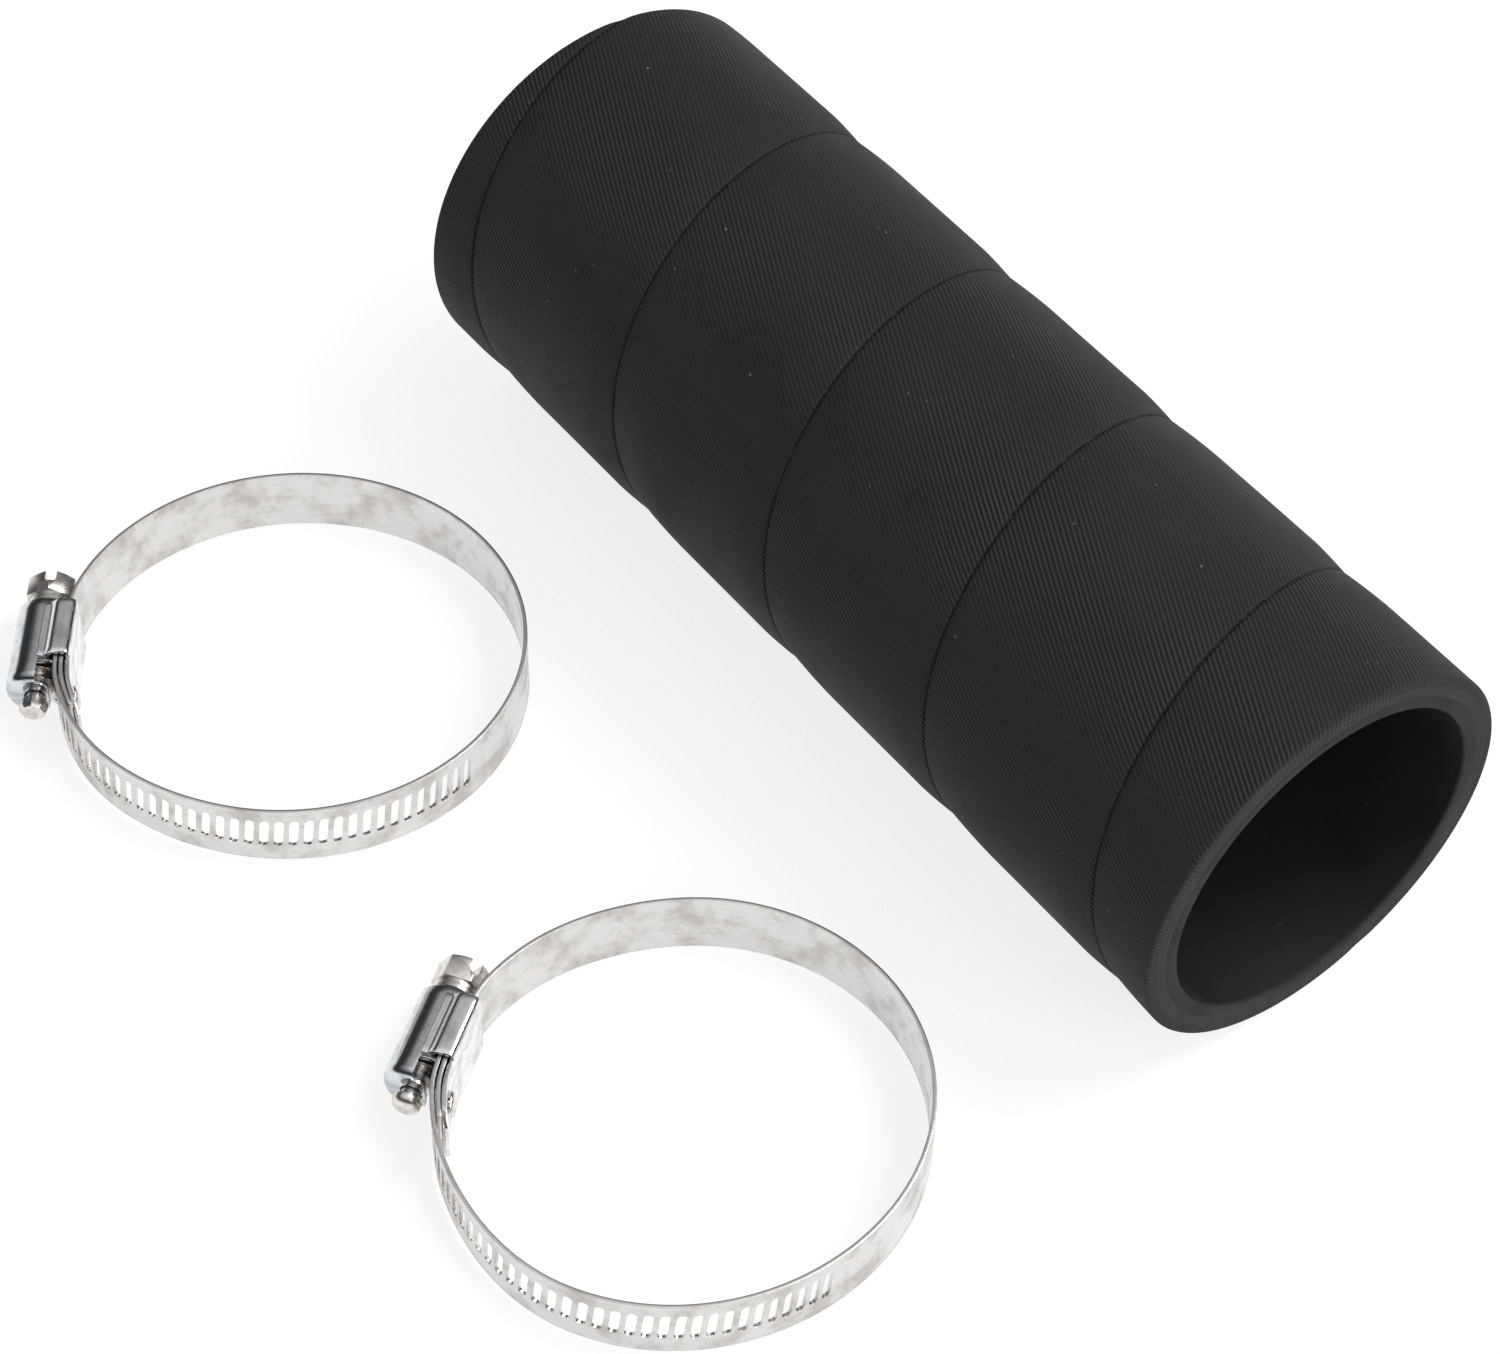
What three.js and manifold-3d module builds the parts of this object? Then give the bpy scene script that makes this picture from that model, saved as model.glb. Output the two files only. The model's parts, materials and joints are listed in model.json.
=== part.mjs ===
// Pipe coupling: a wrapped rubber hose sleeve with its two worm-drive clamps laid beside it.
// Millimetres, +Z up. The hose lies along X on the surface z = 0 and both clamps lie flat in front of it.
import * as THREE from "three";
import { mergeVertices } from "three/addons/utils/BufferGeometryUtils.js";
import Module from "manifold-3d";

const wasm = await Module();
wasm.setup();

// ---------------------------------------------------------------- driving dimensions
const HOSE_LENGTH = 193;
const HOSE_BORE_RADIUS = 30;
const TUBE_WALL = 2.4; // inner rubber tube
const PLY_WALL = 0.9; // one layer of rubbered fabric
const COVER_WALL = 1.85; // outer rubber, wound on as a tape
const LAYER_GAP = 0.15; // between one hose layer and the next
const HOSE_SIDES = 48;

const BAND_WIDTH = 12.7;
const BAND_THICKNESS = 0.7;
const LOOP_HALF_WIDTH = 38.2; // outside of the band, along the screw
const LOOP_HALF_HEIGHT = 40.5; // outside of the band, through the housing
const FLAT_CUT = 0.85; // how much of the loop's crown the housing presses flat
const FLAT_BLEND = 0.8; // softens the change from flat to round
const BAND_GAP = 0.3; // between the layers of band and saddle
const FIXED_END_X = -16;
const TAIL_END_X = 8.6;
const TAIL_TIP_LENGTH = 1.4; // bevelled corners of the free end
const TAIL_TIP_SHARE = 0.7; // width left at the very end
const TAIL_RISE_START = THREE.MathUtils.degToRad(-75);
const TAIL_RISE_END = THREE.MathUtils.degToRad(-28);
const PLAIN_STEP = 5; // length of one facet of plain band

const SLOT_LENGTH = 6.5;
const SLOT_WIDTH = 1.6;
const SLOT_COUNT = 42;
const SLOT_RAISE = 0.6; // slots sit a little above the middle of the band
const FIRST_SLOT = 2; // whole pitches from the housing's middle to the last slot of the tail

const THREAD_PITCH = 2.5; // also the pitch of the slots
const THREAD_RADIUS = 3.75;
const THREAD_ROOT = 2.7;
const THREAD_CREST_HALF = 0.35;
const THREAD_BASE_HALF = 0.6;
const THREAD_BITE = 0.55; // how far the thread reaches into the slots
const THREAD_START = -8.2;
const THREAD_END = 5.6;
const THREAD_SIDES = 12;

const HEAD_ACROSS_FLATS = 8;
const HEAD_LENGTH = 4.5;
const HEAD_SLOT_WIDTH = 1.9;
const HEAD_SLOT_DEPTH = 2.7;
const COLLAR_RADIUS = 3.1;
const FLANGE_RADIUS = 3.9;
const FLANGE_START = 9.2;
const FLANGE_END = 11.2;
const NECK_RADIUS = 1.6;
const NECK_END = -11;
const TIP_RADIUS = 2.45;
const TIP_LENGTH = 2.1;
const ROUND_SIDES = 16;

const THREAD_ROOM = 0.65; // round the thread, inside the housing
const HOUSING_WALL = 0.8;
const HOUSING_TIP_X = -9.5;
const HOUSING_MOUTH_X = 8.2;
const HOUSING_ROUNDING = 1.6;
const RUNNING_GAP = 0.3; // screw in housing, housing over band

const SADDLE_THICKNESS = 0.8;
const STRAP_START_X = -5.4;
const STRAP_END_X = 6.5;
const TONGUE_END_X = -16.5;
const TONGUE_WIDTH = 12;
const TONGUE_CHAMFER = 2;
const SADDLE_STEPS = 8;
const TAB_ROOT = 0.5; // how far each side tab runs in under the band's edge line

const RIVET_X = -10.1;
const RIVET_SHANK_RADIUS = 1.1;
const RIVET_HOLE_GAP = 0.25;
const RIVET_HEAD_RADIUS = 2.3;
const RIVET_HEAD_HEIGHT = 0.9;
const SEAT_GAP = 0.3; // under the rivet's head

// where the two clamps lie beside the hose; yaw turns the housing away from +Y
const CLAMPS = [
  {
    name: "left_clamp", side: -1, aside: 18.5, infront: 16.2, yaw: 141.2, headTurn: 0, tipSides: 8,
    slack: { skew: 0, far: -1.5, sides: 0.5 },
  },
  {
    name: "right_clamp", side: 1, aside: 21.9, infront: 18.8, yaw: 124.5, headTurn: 33, tipSides: 16,
    slack: { skew: -0.95, far: -3.55, sides: 2.6 },
  },
];
// a loose ring springs away from its drawn line from here on, measured from the housing
const SLACK_START = THREE.MathUtils.degToRad(28);
const SLACK_FULL = THREE.MathUtils.degToRad(78);

// ---------------------------------------------------------------- derived sizes
const CUT_REACH = 40; // longer than any piece that it cuts
const bandHalf = BAND_THICKNESS / 2;
const layerStep = BAND_THICKNESS + BAND_GAP;
const loopA = LOOP_HALF_WIDTH - bandHalf;
const crownY = LOOP_HALF_HEIGHT - bandHalf;
const loopB = crownY + FLAT_CUT / 2;
const loopCentreY = FLAT_CUT / 2;
const tailOutsideY = crownY + layerStep + bandHalf;
const screwY = tailOutsideY - THREAD_BITE + THREAD_RADIUS;
const housingRadius = THREAD_RADIUS + THREAD_ROOM + HOUSING_WALL;
const saddleOffset = -(bandHalf + BAND_GAP + SADDLE_THICKNESS / 2);
const tabZ = BAND_WIDTH / 2 + BAND_GAP + SADDLE_THICKNESS / 2;
const headEnd = FLANGE_END + HEAD_LENGTH;

// ---------------------------------------------------------------- helpers
function toSolid(geometry) {
  const bare = geometry.clone();
  bare.deleteAttribute("normal");
  bare.deleteAttribute("uv");
  const merged = mergeVertices(bare, 1e-5);
  return new wasm.Manifold(new wasm.Mesh({
    numProp: 3,
    vertProperties: merged.attributes.position.array,
    triVerts: Uint32Array.from(merged.index.array),
  }));
}

function toGeometry(solid) {
  const { vertProperties, triVerts } = solid.getMesh();
  const geometry = new THREE.BufferGeometry();
  geometry.setAttribute("position", new THREE.BufferAttribute(vertProperties, 3));
  geometry.setIndex(new THREE.BufferAttribute(triVerts, 1));
  geometry.computeVertexNormals();
  return geometry;
}

function cutAll(geometry, cutters) {
  return cutters.reduce((solid, cutter) => solid.subtract(toSolid(cutter)), toSolid(geometry));
}

// carries a flat section through the stations 0..steps; place(u, v, i) gives each point's position
function sweep(section, steps, place) {
  const options = { depth: 1, steps, bevelEnabled: false, curveSegments: 4 };
  const geometry = new THREE.ExtrudeGeometry(section, options);
  const points = geometry.attributes.position;
  for (let i = 0; i < points.count; i += 1) {
    const station = Math.round(points.getZ(i) * steps);
    points.setXYZ(i, ...place(points.getX(i), points.getY(i), station));
  }
  return geometry;
}

// an outline in the Y-Z plane pushed along X
function alongX(section, from, to, rounding = 0) {
  const geometry = new THREE.ExtrudeGeometry(section, {
    depth: to - from - 2 * rounding,
    bevelEnabled: rounding > 0,
    bevelThickness: rounding,
    bevelSize: rounding,
    bevelOffset: -rounding,
    bevelSegments: 3,
    curveSegments: 6,
  });
  geometry.translate(0, 0, from + rounding);
  const yzx = [new THREE.Vector3(0, 1, 0), new THREE.Vector3(0, 0, 1), new THREE.Vector3(1, 0, 0)];
  return geometry.applyMatrix4(new THREE.Matrix4().makeBasis(...yzx));
}

function rectangle(width, height) {
  const [x, y] = [width / 2, height / 2];
  const corners = [[-x, -y], [x, -y], [x, y], [-x, y]];
  return new THREE.Shape(corners.map(([u, v]) => new THREE.Vector2(u, v)));
}

function box(from, to) {
  const size = to.map((value, i) => value - from[i]);
  const middle = to.map((value, i) => (value + from[i]) / 2);
  return new THREE.BoxGeometry(...size).translate(...middle);
}

// a turned solid on the X axis from pairs of [x, radius]
function turned(profile, sides) {
  const points = profile.map(([x, radius]) => new THREE.Vector2(radius, x));
  return new THREE.LatheGeometry(points, sides).rotateZ(-Math.PI / 2);
}

// ---------------------------------------------------------------- the hose
// a layer whose flats, not its corners, lie at the given radii, so that it rests on a flat
function hoseLayer(inside, outside) {
  const stretch = 1 / Math.cos(Math.PI / HOSE_SIDES);
  const half = HOSE_LENGTH / 2;
  const profile = [
    [-half, inside], [-half, outside], [half, outside], [half, inside], [-half, inside],
  ].map(([x, radius]) => [x, radius * stretch]);
  return turned(profile, HOSE_SIDES).rotateX(Math.PI / HOSE_SIDES);
}

function hoseLayers() {
  const walls = [
    ["hose_inner_tube", TUBE_WALL],
    ["hose_inner_ply", PLY_WALL],
    ["hose_outer_ply", PLY_WALL],
    ["hose_cover", COVER_WALL],
  ];
  let inside = HOSE_BORE_RADIUS;
  return walls.map(([name, wall]) => {
    const layer = { name, geometry: hoseLayer(inside, inside + wall), outside: inside + wall };
    inside += wall + LAYER_GAP;
    return layer;
  });
}

// ---------------------------------------------------------------- the line of the band
// smaller of two heights, with the corner between them softened
function softMin(a, b, blend) {
  const nearness = Math.max(blend - Math.abs(a - b), 0) / blend;
  return Math.min(a, b) - (nearness * nearness * blend) / 4;
}

// the band's middle line; the angle runs clockwise from +Y, past one whole turn on the tail
function loopPoint(angle) {
  const round = loopCentreY + loopB * Math.cos(angle);
  const y = Math.cos(angle) > 0 ? softMin(round, crownY, FLAT_BLEND) : round;
  return new THREE.Vector2(loopA * Math.sin(angle), y);
}

function loopFrame(angle) {
  const ahead = loopPoint(angle + 1e-3).sub(loopPoint(angle - 1e-3)).normalize();
  return { point: loopPoint(angle), tangent: ahead, outward: new THREE.Vector2(-ahead.y, ahead.x) };
}

// the slotted end climbs over the fixed end before it enters the housing
function bandFrame(angle) {
  const frame = loopFrame(angle);
  const rise = THREE.MathUtils.smoothstep(
    angle, 2 * Math.PI + TAIL_RISE_START, 2 * Math.PI + TAIL_RISE_END);
  frame.point.addScaledVector(frame.outward, rise * layerStep);
  return frame;
}

function angleAtX(x) {
  return Math.asin(x / loopA);
}

// length along the band, tabulated so that pitch and facets can be laid out by length
const bandLine = (() => {
  const [start, end] = [angleAtX(FIXED_END_X), 2 * Math.PI + angleAtX(TAIL_END_X)];
  const count = 2000;
  const lengths = [0];
  for (let i = 1; i <= count; i += 1) {
    const [a, b] = [i - 1, i].map((k) => bandFrame(start + ((end - start) * k) / count).point);
    lengths.push(lengths[i - 1] + a.distanceTo(b));
  }
  const total = lengths[count];
  const angleAt = (length) => {
    const i = length < total ? Math.max(lengths.findIndex((value) => value > length), 1) : count;
    const share = (length - lengths[i - 1]) / (lengths[i] - lengths[i - 1]);
    return start + ((end - start) * (i - 1 + share)) / count;
  };
  const lengthAt = (angle) => {
    const place = ((angle - start) / (end - start)) * count;
    const i = Math.floor(place);
    return THREE.MathUtils.lerp(lengths[i], lengths[i + 1], place - i);
  };
  return { total, angleAt, lengthAt };
})();

const housingMiddle = bandLine.lengthAt(2 * Math.PI);
const lastSlot = housingMiddle + FIRST_SLOT * THREAD_PITCH;
const slotCentres = Array.from({ length: SLOT_COUNT }, (_, k) => lastSlot - k * THREAD_PITCH);

// ---------------------------------------------------------------- the band
function bandStations() {
  const slottedFrom = slotCentres[SLOT_COUNT - 1] - THREAD_PITCH / 2;
  const plainCount = Math.ceil(slottedFrom / PLAIN_STEP);
  const plain = Array.from({ length: plainCount }, (_, i) => (slottedFrom * i) / plainCount);
  const slotted = slotCentres.map((centre) => centre - THREAD_PITCH / 2).reverse();
  const tip = [lastSlot + THREAD_PITCH / 2, bandLine.total - TAIL_TIP_LENGTH, bandLine.total];
  return [...plain, ...slotted, ...tip];
}

// a tool square to the band at a length along it; the tool points inwards along its own Z
function acrossBand(tool, length, raise) {
  const { point, tangent, outward } = bandFrame(bandLine.angleAt(length));
  const basis = new THREE.Matrix4().makeBasis(
    new THREE.Vector3(tangent.x, tangent.y, 0),
    new THREE.Vector3(0, 0, 1),
    new THREE.Vector3(-outward.x, -outward.y, 0),
  );
  return tool.applyMatrix4(basis.setPosition(point.x, point.y, raise));
}

function slotCutter() {
  const [radius, straight] = [SLOT_WIDTH / 2, (SLOT_LENGTH - SLOT_WIDTH) / 2];
  const outline = new THREE.Shape();
  outline.absarc(0, straight, radius, 0, Math.PI, false);
  outline.absarc(0, -straight, radius, Math.PI, 2 * Math.PI, false);
  const options = { depth: 2 * BAND_THICKNESS, bevelEnabled: false, curveSegments: 1 };
  const lean = Math.atan(THREAD_PITCH / (2 * Math.PI * THREAD_RADIUS));
  return new THREE.ExtrudeGeometry(outline, options)
    .translate(0, 0, -BAND_THICKNESS)
    .rotateZ(lean);
}

function rivetHoleCutter(depth) {
  const radius = RIVET_SHANK_RADIUS + RIVET_HOLE_GAP;
  return new THREE.CylinderGeometry(radius, radius, depth, ROUND_SIDES / 2).rotateX(Math.PI / 2);
}

const rivetLength = bandLine.lengthAt(angleAtX(RIVET_X));

// moves the ring's points outwards by its slack, which dies out under the housing
function withSlack(geometry, { skew, far, sides }) {
  const points = geometry.attributes.position;
  for (let i = 0; i < points.count; i += 1) {
    const [x, y] = [points.getX(i), points.getY(i)];
    const angle = Math.atan2(x, y);
    const share = THREE.MathUtils.smoothstep(Math.abs(angle), SLACK_START, SLACK_FULL);
    const out = share * (skew * Math.sin(2 * angle) + (far * (1 - Math.cos(angle))) / 2
      + sides * Math.sin(angle) ** 2);
    points.setXY(i, x + out * Math.sin(angle), y + out * Math.cos(angle));
  }
  geometry.computeVertexNormals();
  return geometry;
}

function bandGeometry() {
  const stations = bandStations();
  const strip = sweep(rectangle(BAND_THICKNESS, BAND_WIDTH), stations.length - 1, (u, v, i) => {
    const { point, outward } = bandFrame(bandLine.angleAt(stations[i]));
    const width = i === stations.length - 1 ? TAIL_TIP_SHARE : 1;
    return [point.x + outward.x * u, point.y + outward.y * u, v * width];
  });
  const slots = slotCentres.map((centre) => acrossBand(slotCutter(), centre, SLOT_RAISE));
  const rivetHole = acrossBand(rivetHoleCutter(2 * BAND_THICKNESS), rivetLength, 0);
  return toGeometry(cutAll(strip, [...slots, rivetHole]));
}

// ---------------------------------------------------------------- the saddle
// middle line of one side tab in the Y-Z plane: past the band's edge, then in against the housing
function tabLine() {
  const plateY = crownY + saddleOffset;
  const strapZ = housingRadius + RUNNING_GAP + SADDLE_THICKNESS / 2;
  return [
    [plateY, tabZ - TAB_ROOT],
    [plateY + 0.25, tabZ - 0.25],
    [plateY + 0.9, tabZ],
    [tailOutsideY + 0.1, tabZ],
    [tailOutsideY + 0.9, (tabZ + strapZ) / 2],
    [tailOutsideY + 1.5, strapZ],
    [screwY - 0.3, strapZ],
  ];
}

// closes a line of points into a strip of sheet of the given thickness
function sheetOutline(line, thickness) {
  const half = thickness / 2;
  const offset = (side) => line.map(([y, z], i) => {
    const before = line[Math.max(i - 1, 0)];
    const after = line[Math.min(i + 1, line.length - 1)];
    const along = new THREE.Vector2(after[0] - before[0], after[1] - before[1]).normalize();
    return new THREE.Vector2(y - along.y * half * side, z + along.x * half * side);
  });
  return new THREE.Shape([...offset(-1), ...offset(1).reverse()]);
}

// sheet that follows the inside of the band from one X to another
function saddleSheet(fromX, toX, width, endWidth) {
  const [from, to] = [fromX, toX].map(angleAtX);
  return toSolid(sweep(rectangle(SADDLE_THICKNESS, width), SADDLE_STEPS, (u, v, i) => {
    const { point, outward } = loopFrame(from + ((to - from) * i) / SADDLE_STEPS);
    const reach = saddleOffset + u;
    const share = i === 0 ? endWidth / width : 1;
    return [point.x + outward.x * reach, point.y + outward.y * reach, v * share];
  }));
}

function saddleGeometry() {
  const tab = sheetOutline(tabLine(), SADDLE_THICKNESS);
  const upperTab = toSolid(alongX(tab, STRAP_START_X, STRAP_END_X));
  const plateWidth = 2 * tabZ - TAB_ROOT;
  const plate = saddleSheet(STRAP_START_X, STRAP_END_X, plateWidth, plateWidth);
  const tongueEnd = TONGUE_WIDTH - 2 * TONGUE_CHAMFER;
  const tongue = saddleSheet(TONGUE_END_X, STRAP_END_X - TAB_ROOT, TONGUE_WIDTH, tongueEnd);
  const hole = toSolid(acrossBand(rivetHoleCutter(CUT_REACH / 10), rivetLength, 0));
  return toGeometry(plate.add(upperTab).add(upperTab.mirror([0, 0, 1])).add(tongue).subtract(hole));
}

function rivetGeometry() {
  const headSeat = -saddleOffset + SADDLE_THICKNESS / 2 + SEAT_GAP;
  const domePoints = [0, 0.4, 0.8, 1].map((share) => [
    headSeat + RIVET_HEAD_HEIGHT * share,
    RIVET_HEAD_RADIUS * Math.sqrt(1 - share * share),
  ]);
  const profile = [[-bandHalf, 0], [-bandHalf, RIVET_SHANK_RADIUS], [headSeat, RIVET_SHANK_RADIUS]];
  const rivet = turned([...profile, ...domePoints], ROUND_SIDES).rotateY(-Math.PI / 2);
  return acrossBand(rivet, rivetLength, 0);
}

// ---------------------------------------------------------------- the housing
function housingOutline(radius, footY) {
  const outline = new THREE.Shape();
  outline.moveTo(footY, -radius);
  outline.lineTo(screwY, -radius);
  outline.absarc(screwY, 0, radius, -Math.PI / 2, Math.PI / 2, false);
  outline.lineTo(footY, radius);
  return outline;
}

function housingGeometry() {
  const footY = tailOutsideY + RUNNING_GAP;
  const shell = alongX(housingOutline(housingRadius, footY - HOUSING_ROUNDING),
    HOUSING_TIP_X, HOUSING_MOUTH_X + 2 * HOUSING_ROUNDING, HOUSING_ROUNDING);
  const room = alongX(housingOutline(housingRadius - HOUSING_WALL, footY - CUT_REACH),
    HOUSING_TIP_X + HOUSING_WALL, HOUSING_MOUTH_X + CUT_REACH);
  const far = [HOUSING_MOUTH_X + CUT_REACH, screwY + CUT_REACH, CUT_REACH];
  const pastMouth = box([HOUSING_MOUTH_X, -CUT_REACH, -CUT_REACH], far);
  const underFeet = box([-CUT_REACH, footY - CUT_REACH, -CUT_REACH], [CUT_REACH, footY, CUT_REACH]);
  const windowEnd = STRAP_START_X - RUNNING_GAP;
  const window = box([HOUSING_TIP_X + HOUSING_WALL, -CUT_REACH, -CUT_REACH],
    [windowEnd, screwY - RUNNING_GAP, CUT_REACH]);
  const holeRadius = NECK_RADIUS + RUNNING_GAP;
  const belowHole = screwY - holeRadius - HOUSING_WALL / 2;
  const endWall = box([-CUT_REACH, -CUT_REACH, -CUT_REACH],
    [HOUSING_TIP_X + HOUSING_WALL, belowHole, CUT_REACH]);
  const hole = turned([[-CUT_REACH, 0], [-CUT_REACH, holeRadius], [0, holeRadius], [0, 0]], ROUND_SIDES)
    .translate(0, screwY, 0);
  return toGeometry(cutAll(shell, [room, pastMouth, underFeet, window, endWall, hole]));
}

// ---------------------------------------------------------------- the screw
// right-hand thread; its lowest line, towards the band, crosses the middle of the housing
function threadSolid() {
  const buried = THREAD_ROOT - 0.4;
  const section = new THREE.Shape([
    new THREE.Vector2(-THREAD_BASE_HALF, buried),
    new THREE.Vector2(THREAD_BASE_HALF, buried),
    new THREE.Vector2(THREAD_CREST_HALF, THREAD_RADIUS),
    new THREE.Vector2(-THREAD_CREST_HALF, THREAD_RADIUS),
  ]);
  const from = THREAD_START + THREAD_BASE_HALF;
  const turns = (THREAD_END - THREAD_BASE_HALF - from) / THREAD_PITCH;
  const steps = Math.round(turns * THREAD_SIDES);
  return toSolid(sweep(section, steps, (u, radius, i) => {
    const x = from + (THREAD_PITCH * turns * i) / steps;
    const turn = (2 * Math.PI * x) / THREAD_PITCH + Math.PI;
    return [x + u, radius * Math.cos(turn), radius * Math.sin(turn)];
  }));
}

function headSolid(headTurn) {
  const cornerRadius = HEAD_ACROSS_FLATS / 2 / Math.cos(Math.PI / 6);
  const chamfer = 0.5;
  const blank = turned([
    [FLANGE_END, 0], [FLANGE_END, cornerRadius],
    [headEnd - chamfer, cornerRadius], [headEnd, cornerRadius - chamfer], [headEnd, 0],
  ], 6).rotateX(Math.PI / 6);
  const half = HEAD_SLOT_WIDTH / 2;
  const slot = box([headEnd - HEAD_SLOT_DEPTH, -half, -CUT_REACH], [headEnd + 1, half, CUT_REACH]);
  const head = toGeometry(toSolid(blank).subtract(toSolid(slot)));
  return toSolid(head.rotateX(THREE.MathUtils.degToRad(headTurn)));
}

function screwGeometry(headTurn, tipSides) {
  const body = toSolid(turned([
    [NECK_END, 0], [NECK_END, NECK_RADIUS],
    [THREAD_START - 0.4, NECK_RADIUS], [THREAD_START, THREAD_ROOT],
    [THREAD_END, THREAD_ROOT], [THREAD_END + 0.4, COLLAR_RADIUS],
    [FLANGE_START, COLLAR_RADIUS], [FLANGE_START, FLANGE_RADIUS],
    [FLANGE_END, FLANGE_RADIUS], [FLANGE_END, 0],
  ], ROUND_SIDES));
  const tipBevel = 0.5;
  const tipEnd = NECK_END - TIP_LENGTH;
  const tip = toSolid(turned([
    [tipEnd, 0], [tipEnd, TIP_RADIUS - tipBevel], [tipEnd + tipBevel, TIP_RADIUS],
    [NECK_END, TIP_RADIUS], [NECK_END, 0],
  ], tipSides));
  return toGeometry(body.add(threadSolid()).add(headSolid(headTurn)).add(tip));
}

// ---------------------------------------------------------------- the assembly
function metal(color, roughness) {
  return new THREE.MeshStandardMaterial({ color, roughness, metalness: 1 });
}

function rubber(color, roughness) {
  return new THREE.MeshStandardMaterial({ color, roughness, metalness: 0 });
}

function named(name, geometry, material) {
  const mesh = new THREE.Mesh(geometry, material);
  mesh.name = name;
  return mesh;
}

function hoseGroup() {
  const group = new THREE.Group();
  const layers = hoseLayers();
  const looks = [
    rubber(0x1a1a1b, 0.75), rubber(0x3a3936, 0.9), rubber(0x3a3936, 0.9), rubber(0x2b2a2b, 0.8),
  ];
  layers.forEach((layer, i) => group.add(named(layer.name, layer.geometry, looks[i])));
  group.position.z = layers[layers.length - 1].outside;
  return group;
}

function clampGroup({ name, side, aside, infront, yaw, headTurn, tipSides, slack }) {
  const leaned = new THREE.Group();
  const screw = named(`${name}_screw`, screwGeometry(headTurn, tipSides), metal(0xb9b4ad, 0.3));
  screw.position.y = screwY;
  leaned.add(
    named(`${name}_band`, withSlack(bandGeometry(), slack), metal(0xcfcdc9, 0.28)),
    named(`${name}_housing`, housingGeometry(), metal(0xc8c8c8, 0.12)),
    named(`${name}_saddle`, saddleGeometry(), metal(0xc9c6c1, 0.22)),
    named(`${name}_rivet`, rivetGeometry(), metal(0xb5b2ad, 0.3)),
    screw,
  );
  // the saddle is wider than the band, so the clamp leans a little on its saddle
  const overhang = tabZ + SADDLE_THICKNESS / 2 - BAND_WIDTH / 2;
  leaned.rotation.x = Math.atan(overhang / (2 * LOOP_HALF_HEIGHT + slack.far));
  leaned.position.z = -new THREE.Box3().setFromObject(leaned, true).min.z;
  const placed = new THREE.Group().add(leaned);
  placed.rotation.z = THREE.MathUtils.degToRad(yaw);
  const hoseRadius = hoseLayers().at(-1).outside;
  placed.position.x = side * (LOOP_HALF_WIDTH + aside);
  placed.position.y = -(hoseRadius + infront + LOOP_HALF_HEIGHT);
  return placed;
}

// the origin is under the middle of the whole set, on the surface that it lies on
const coupling = new THREE.Group();
const pieces = new THREE.Group().add(hoseGroup(), ...CLAMPS.map(clampGroup));
coupling.add(pieces);
const middle = new THREE.Box3().setFromObject(pieces, true).getCenter(new THREE.Vector3());
pieces.position.set(-middle.x, -middle.y, 0);

export default coupling;
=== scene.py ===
# %% [markdown]
# # A wrapped hose coupling and its two worm-drive clamps
# A black rubber hose sleeve lies on a white table with two loose stainless band clamps beside it.
# The sizes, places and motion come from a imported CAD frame. This lesson makes the looks around that
# frame: sheet metal from bent grids, a wound rubber surface from one formula, and node materials.

# %% Load the frame
import json
import math

import bmesh
import bpy
import numpy as np
from mathutils import Matrix, Vector


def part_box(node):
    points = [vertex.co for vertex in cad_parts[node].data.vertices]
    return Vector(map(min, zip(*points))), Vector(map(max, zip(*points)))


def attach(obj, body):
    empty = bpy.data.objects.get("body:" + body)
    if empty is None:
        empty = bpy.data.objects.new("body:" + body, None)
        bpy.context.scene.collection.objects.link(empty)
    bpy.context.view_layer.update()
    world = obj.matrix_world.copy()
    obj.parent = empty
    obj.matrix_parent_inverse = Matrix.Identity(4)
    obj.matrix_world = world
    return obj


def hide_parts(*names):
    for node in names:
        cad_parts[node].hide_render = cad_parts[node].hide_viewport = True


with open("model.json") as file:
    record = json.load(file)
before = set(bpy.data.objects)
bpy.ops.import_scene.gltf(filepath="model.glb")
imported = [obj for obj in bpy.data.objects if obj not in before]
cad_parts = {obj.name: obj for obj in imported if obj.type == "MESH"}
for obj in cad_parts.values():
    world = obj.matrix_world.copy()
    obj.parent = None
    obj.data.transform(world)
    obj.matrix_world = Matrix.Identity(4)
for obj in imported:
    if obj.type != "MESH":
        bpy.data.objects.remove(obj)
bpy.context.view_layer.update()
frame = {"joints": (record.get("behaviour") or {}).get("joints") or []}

MM = 0.001
scene = bpy.context.scene
scene.view_settings.view_transform = "Standard"

# %% [markdown]
# ## Small tools
# Every piece here is either a grid of points bent into shape or a profile turned round a line.
# So three helpers are enough: one makes an object from points and faces, one joins a block of
# points into a skin of quads, and one freezes the modifiers, so that the mesh is the final one.


# %% Mesh helpers
MERGE_DISTANCE = 2e-7


def merge_points(piece, distance=MERGE_DISTANCE):
    """Joins points that share a place and turns all faces the same way."""
    shape = bmesh.new()
    shape.from_mesh(piece.data)
    bmesh.ops.remove_doubles(shape, verts=shape.verts, dist=distance)
    bmesh.ops.dissolve_degenerate(shape, edges=shape.edges, dist=distance)
    bmesh.ops.recalc_face_normals(shape, faces=shape.faces)
    shape.to_mesh(piece.data)
    shape.free()
    return piece


def mesh_object(name, points, faces, grain=None):
    """A piece from points in millimetres and faces that list them. The grain is each point's place
    on the flat sheet, in metres, so that brushing can follow the bends."""
    mesh = bpy.data.meshes.new(name)
    mesh.from_pydata([tuple(value * MM for value in point) for point in points], [], faces)
    mesh.update()
    if grain is not None:
        layer = mesh.attributes.new("grain", "FLOAT_VECTOR", "POINT")
        layer.data.foreach_set("vector", np.array(grain, dtype=float).ravel())
    piece = bpy.data.objects.new(name, mesh)
    scene.collection.objects.link(piece)
    return merge_points(piece)


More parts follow.
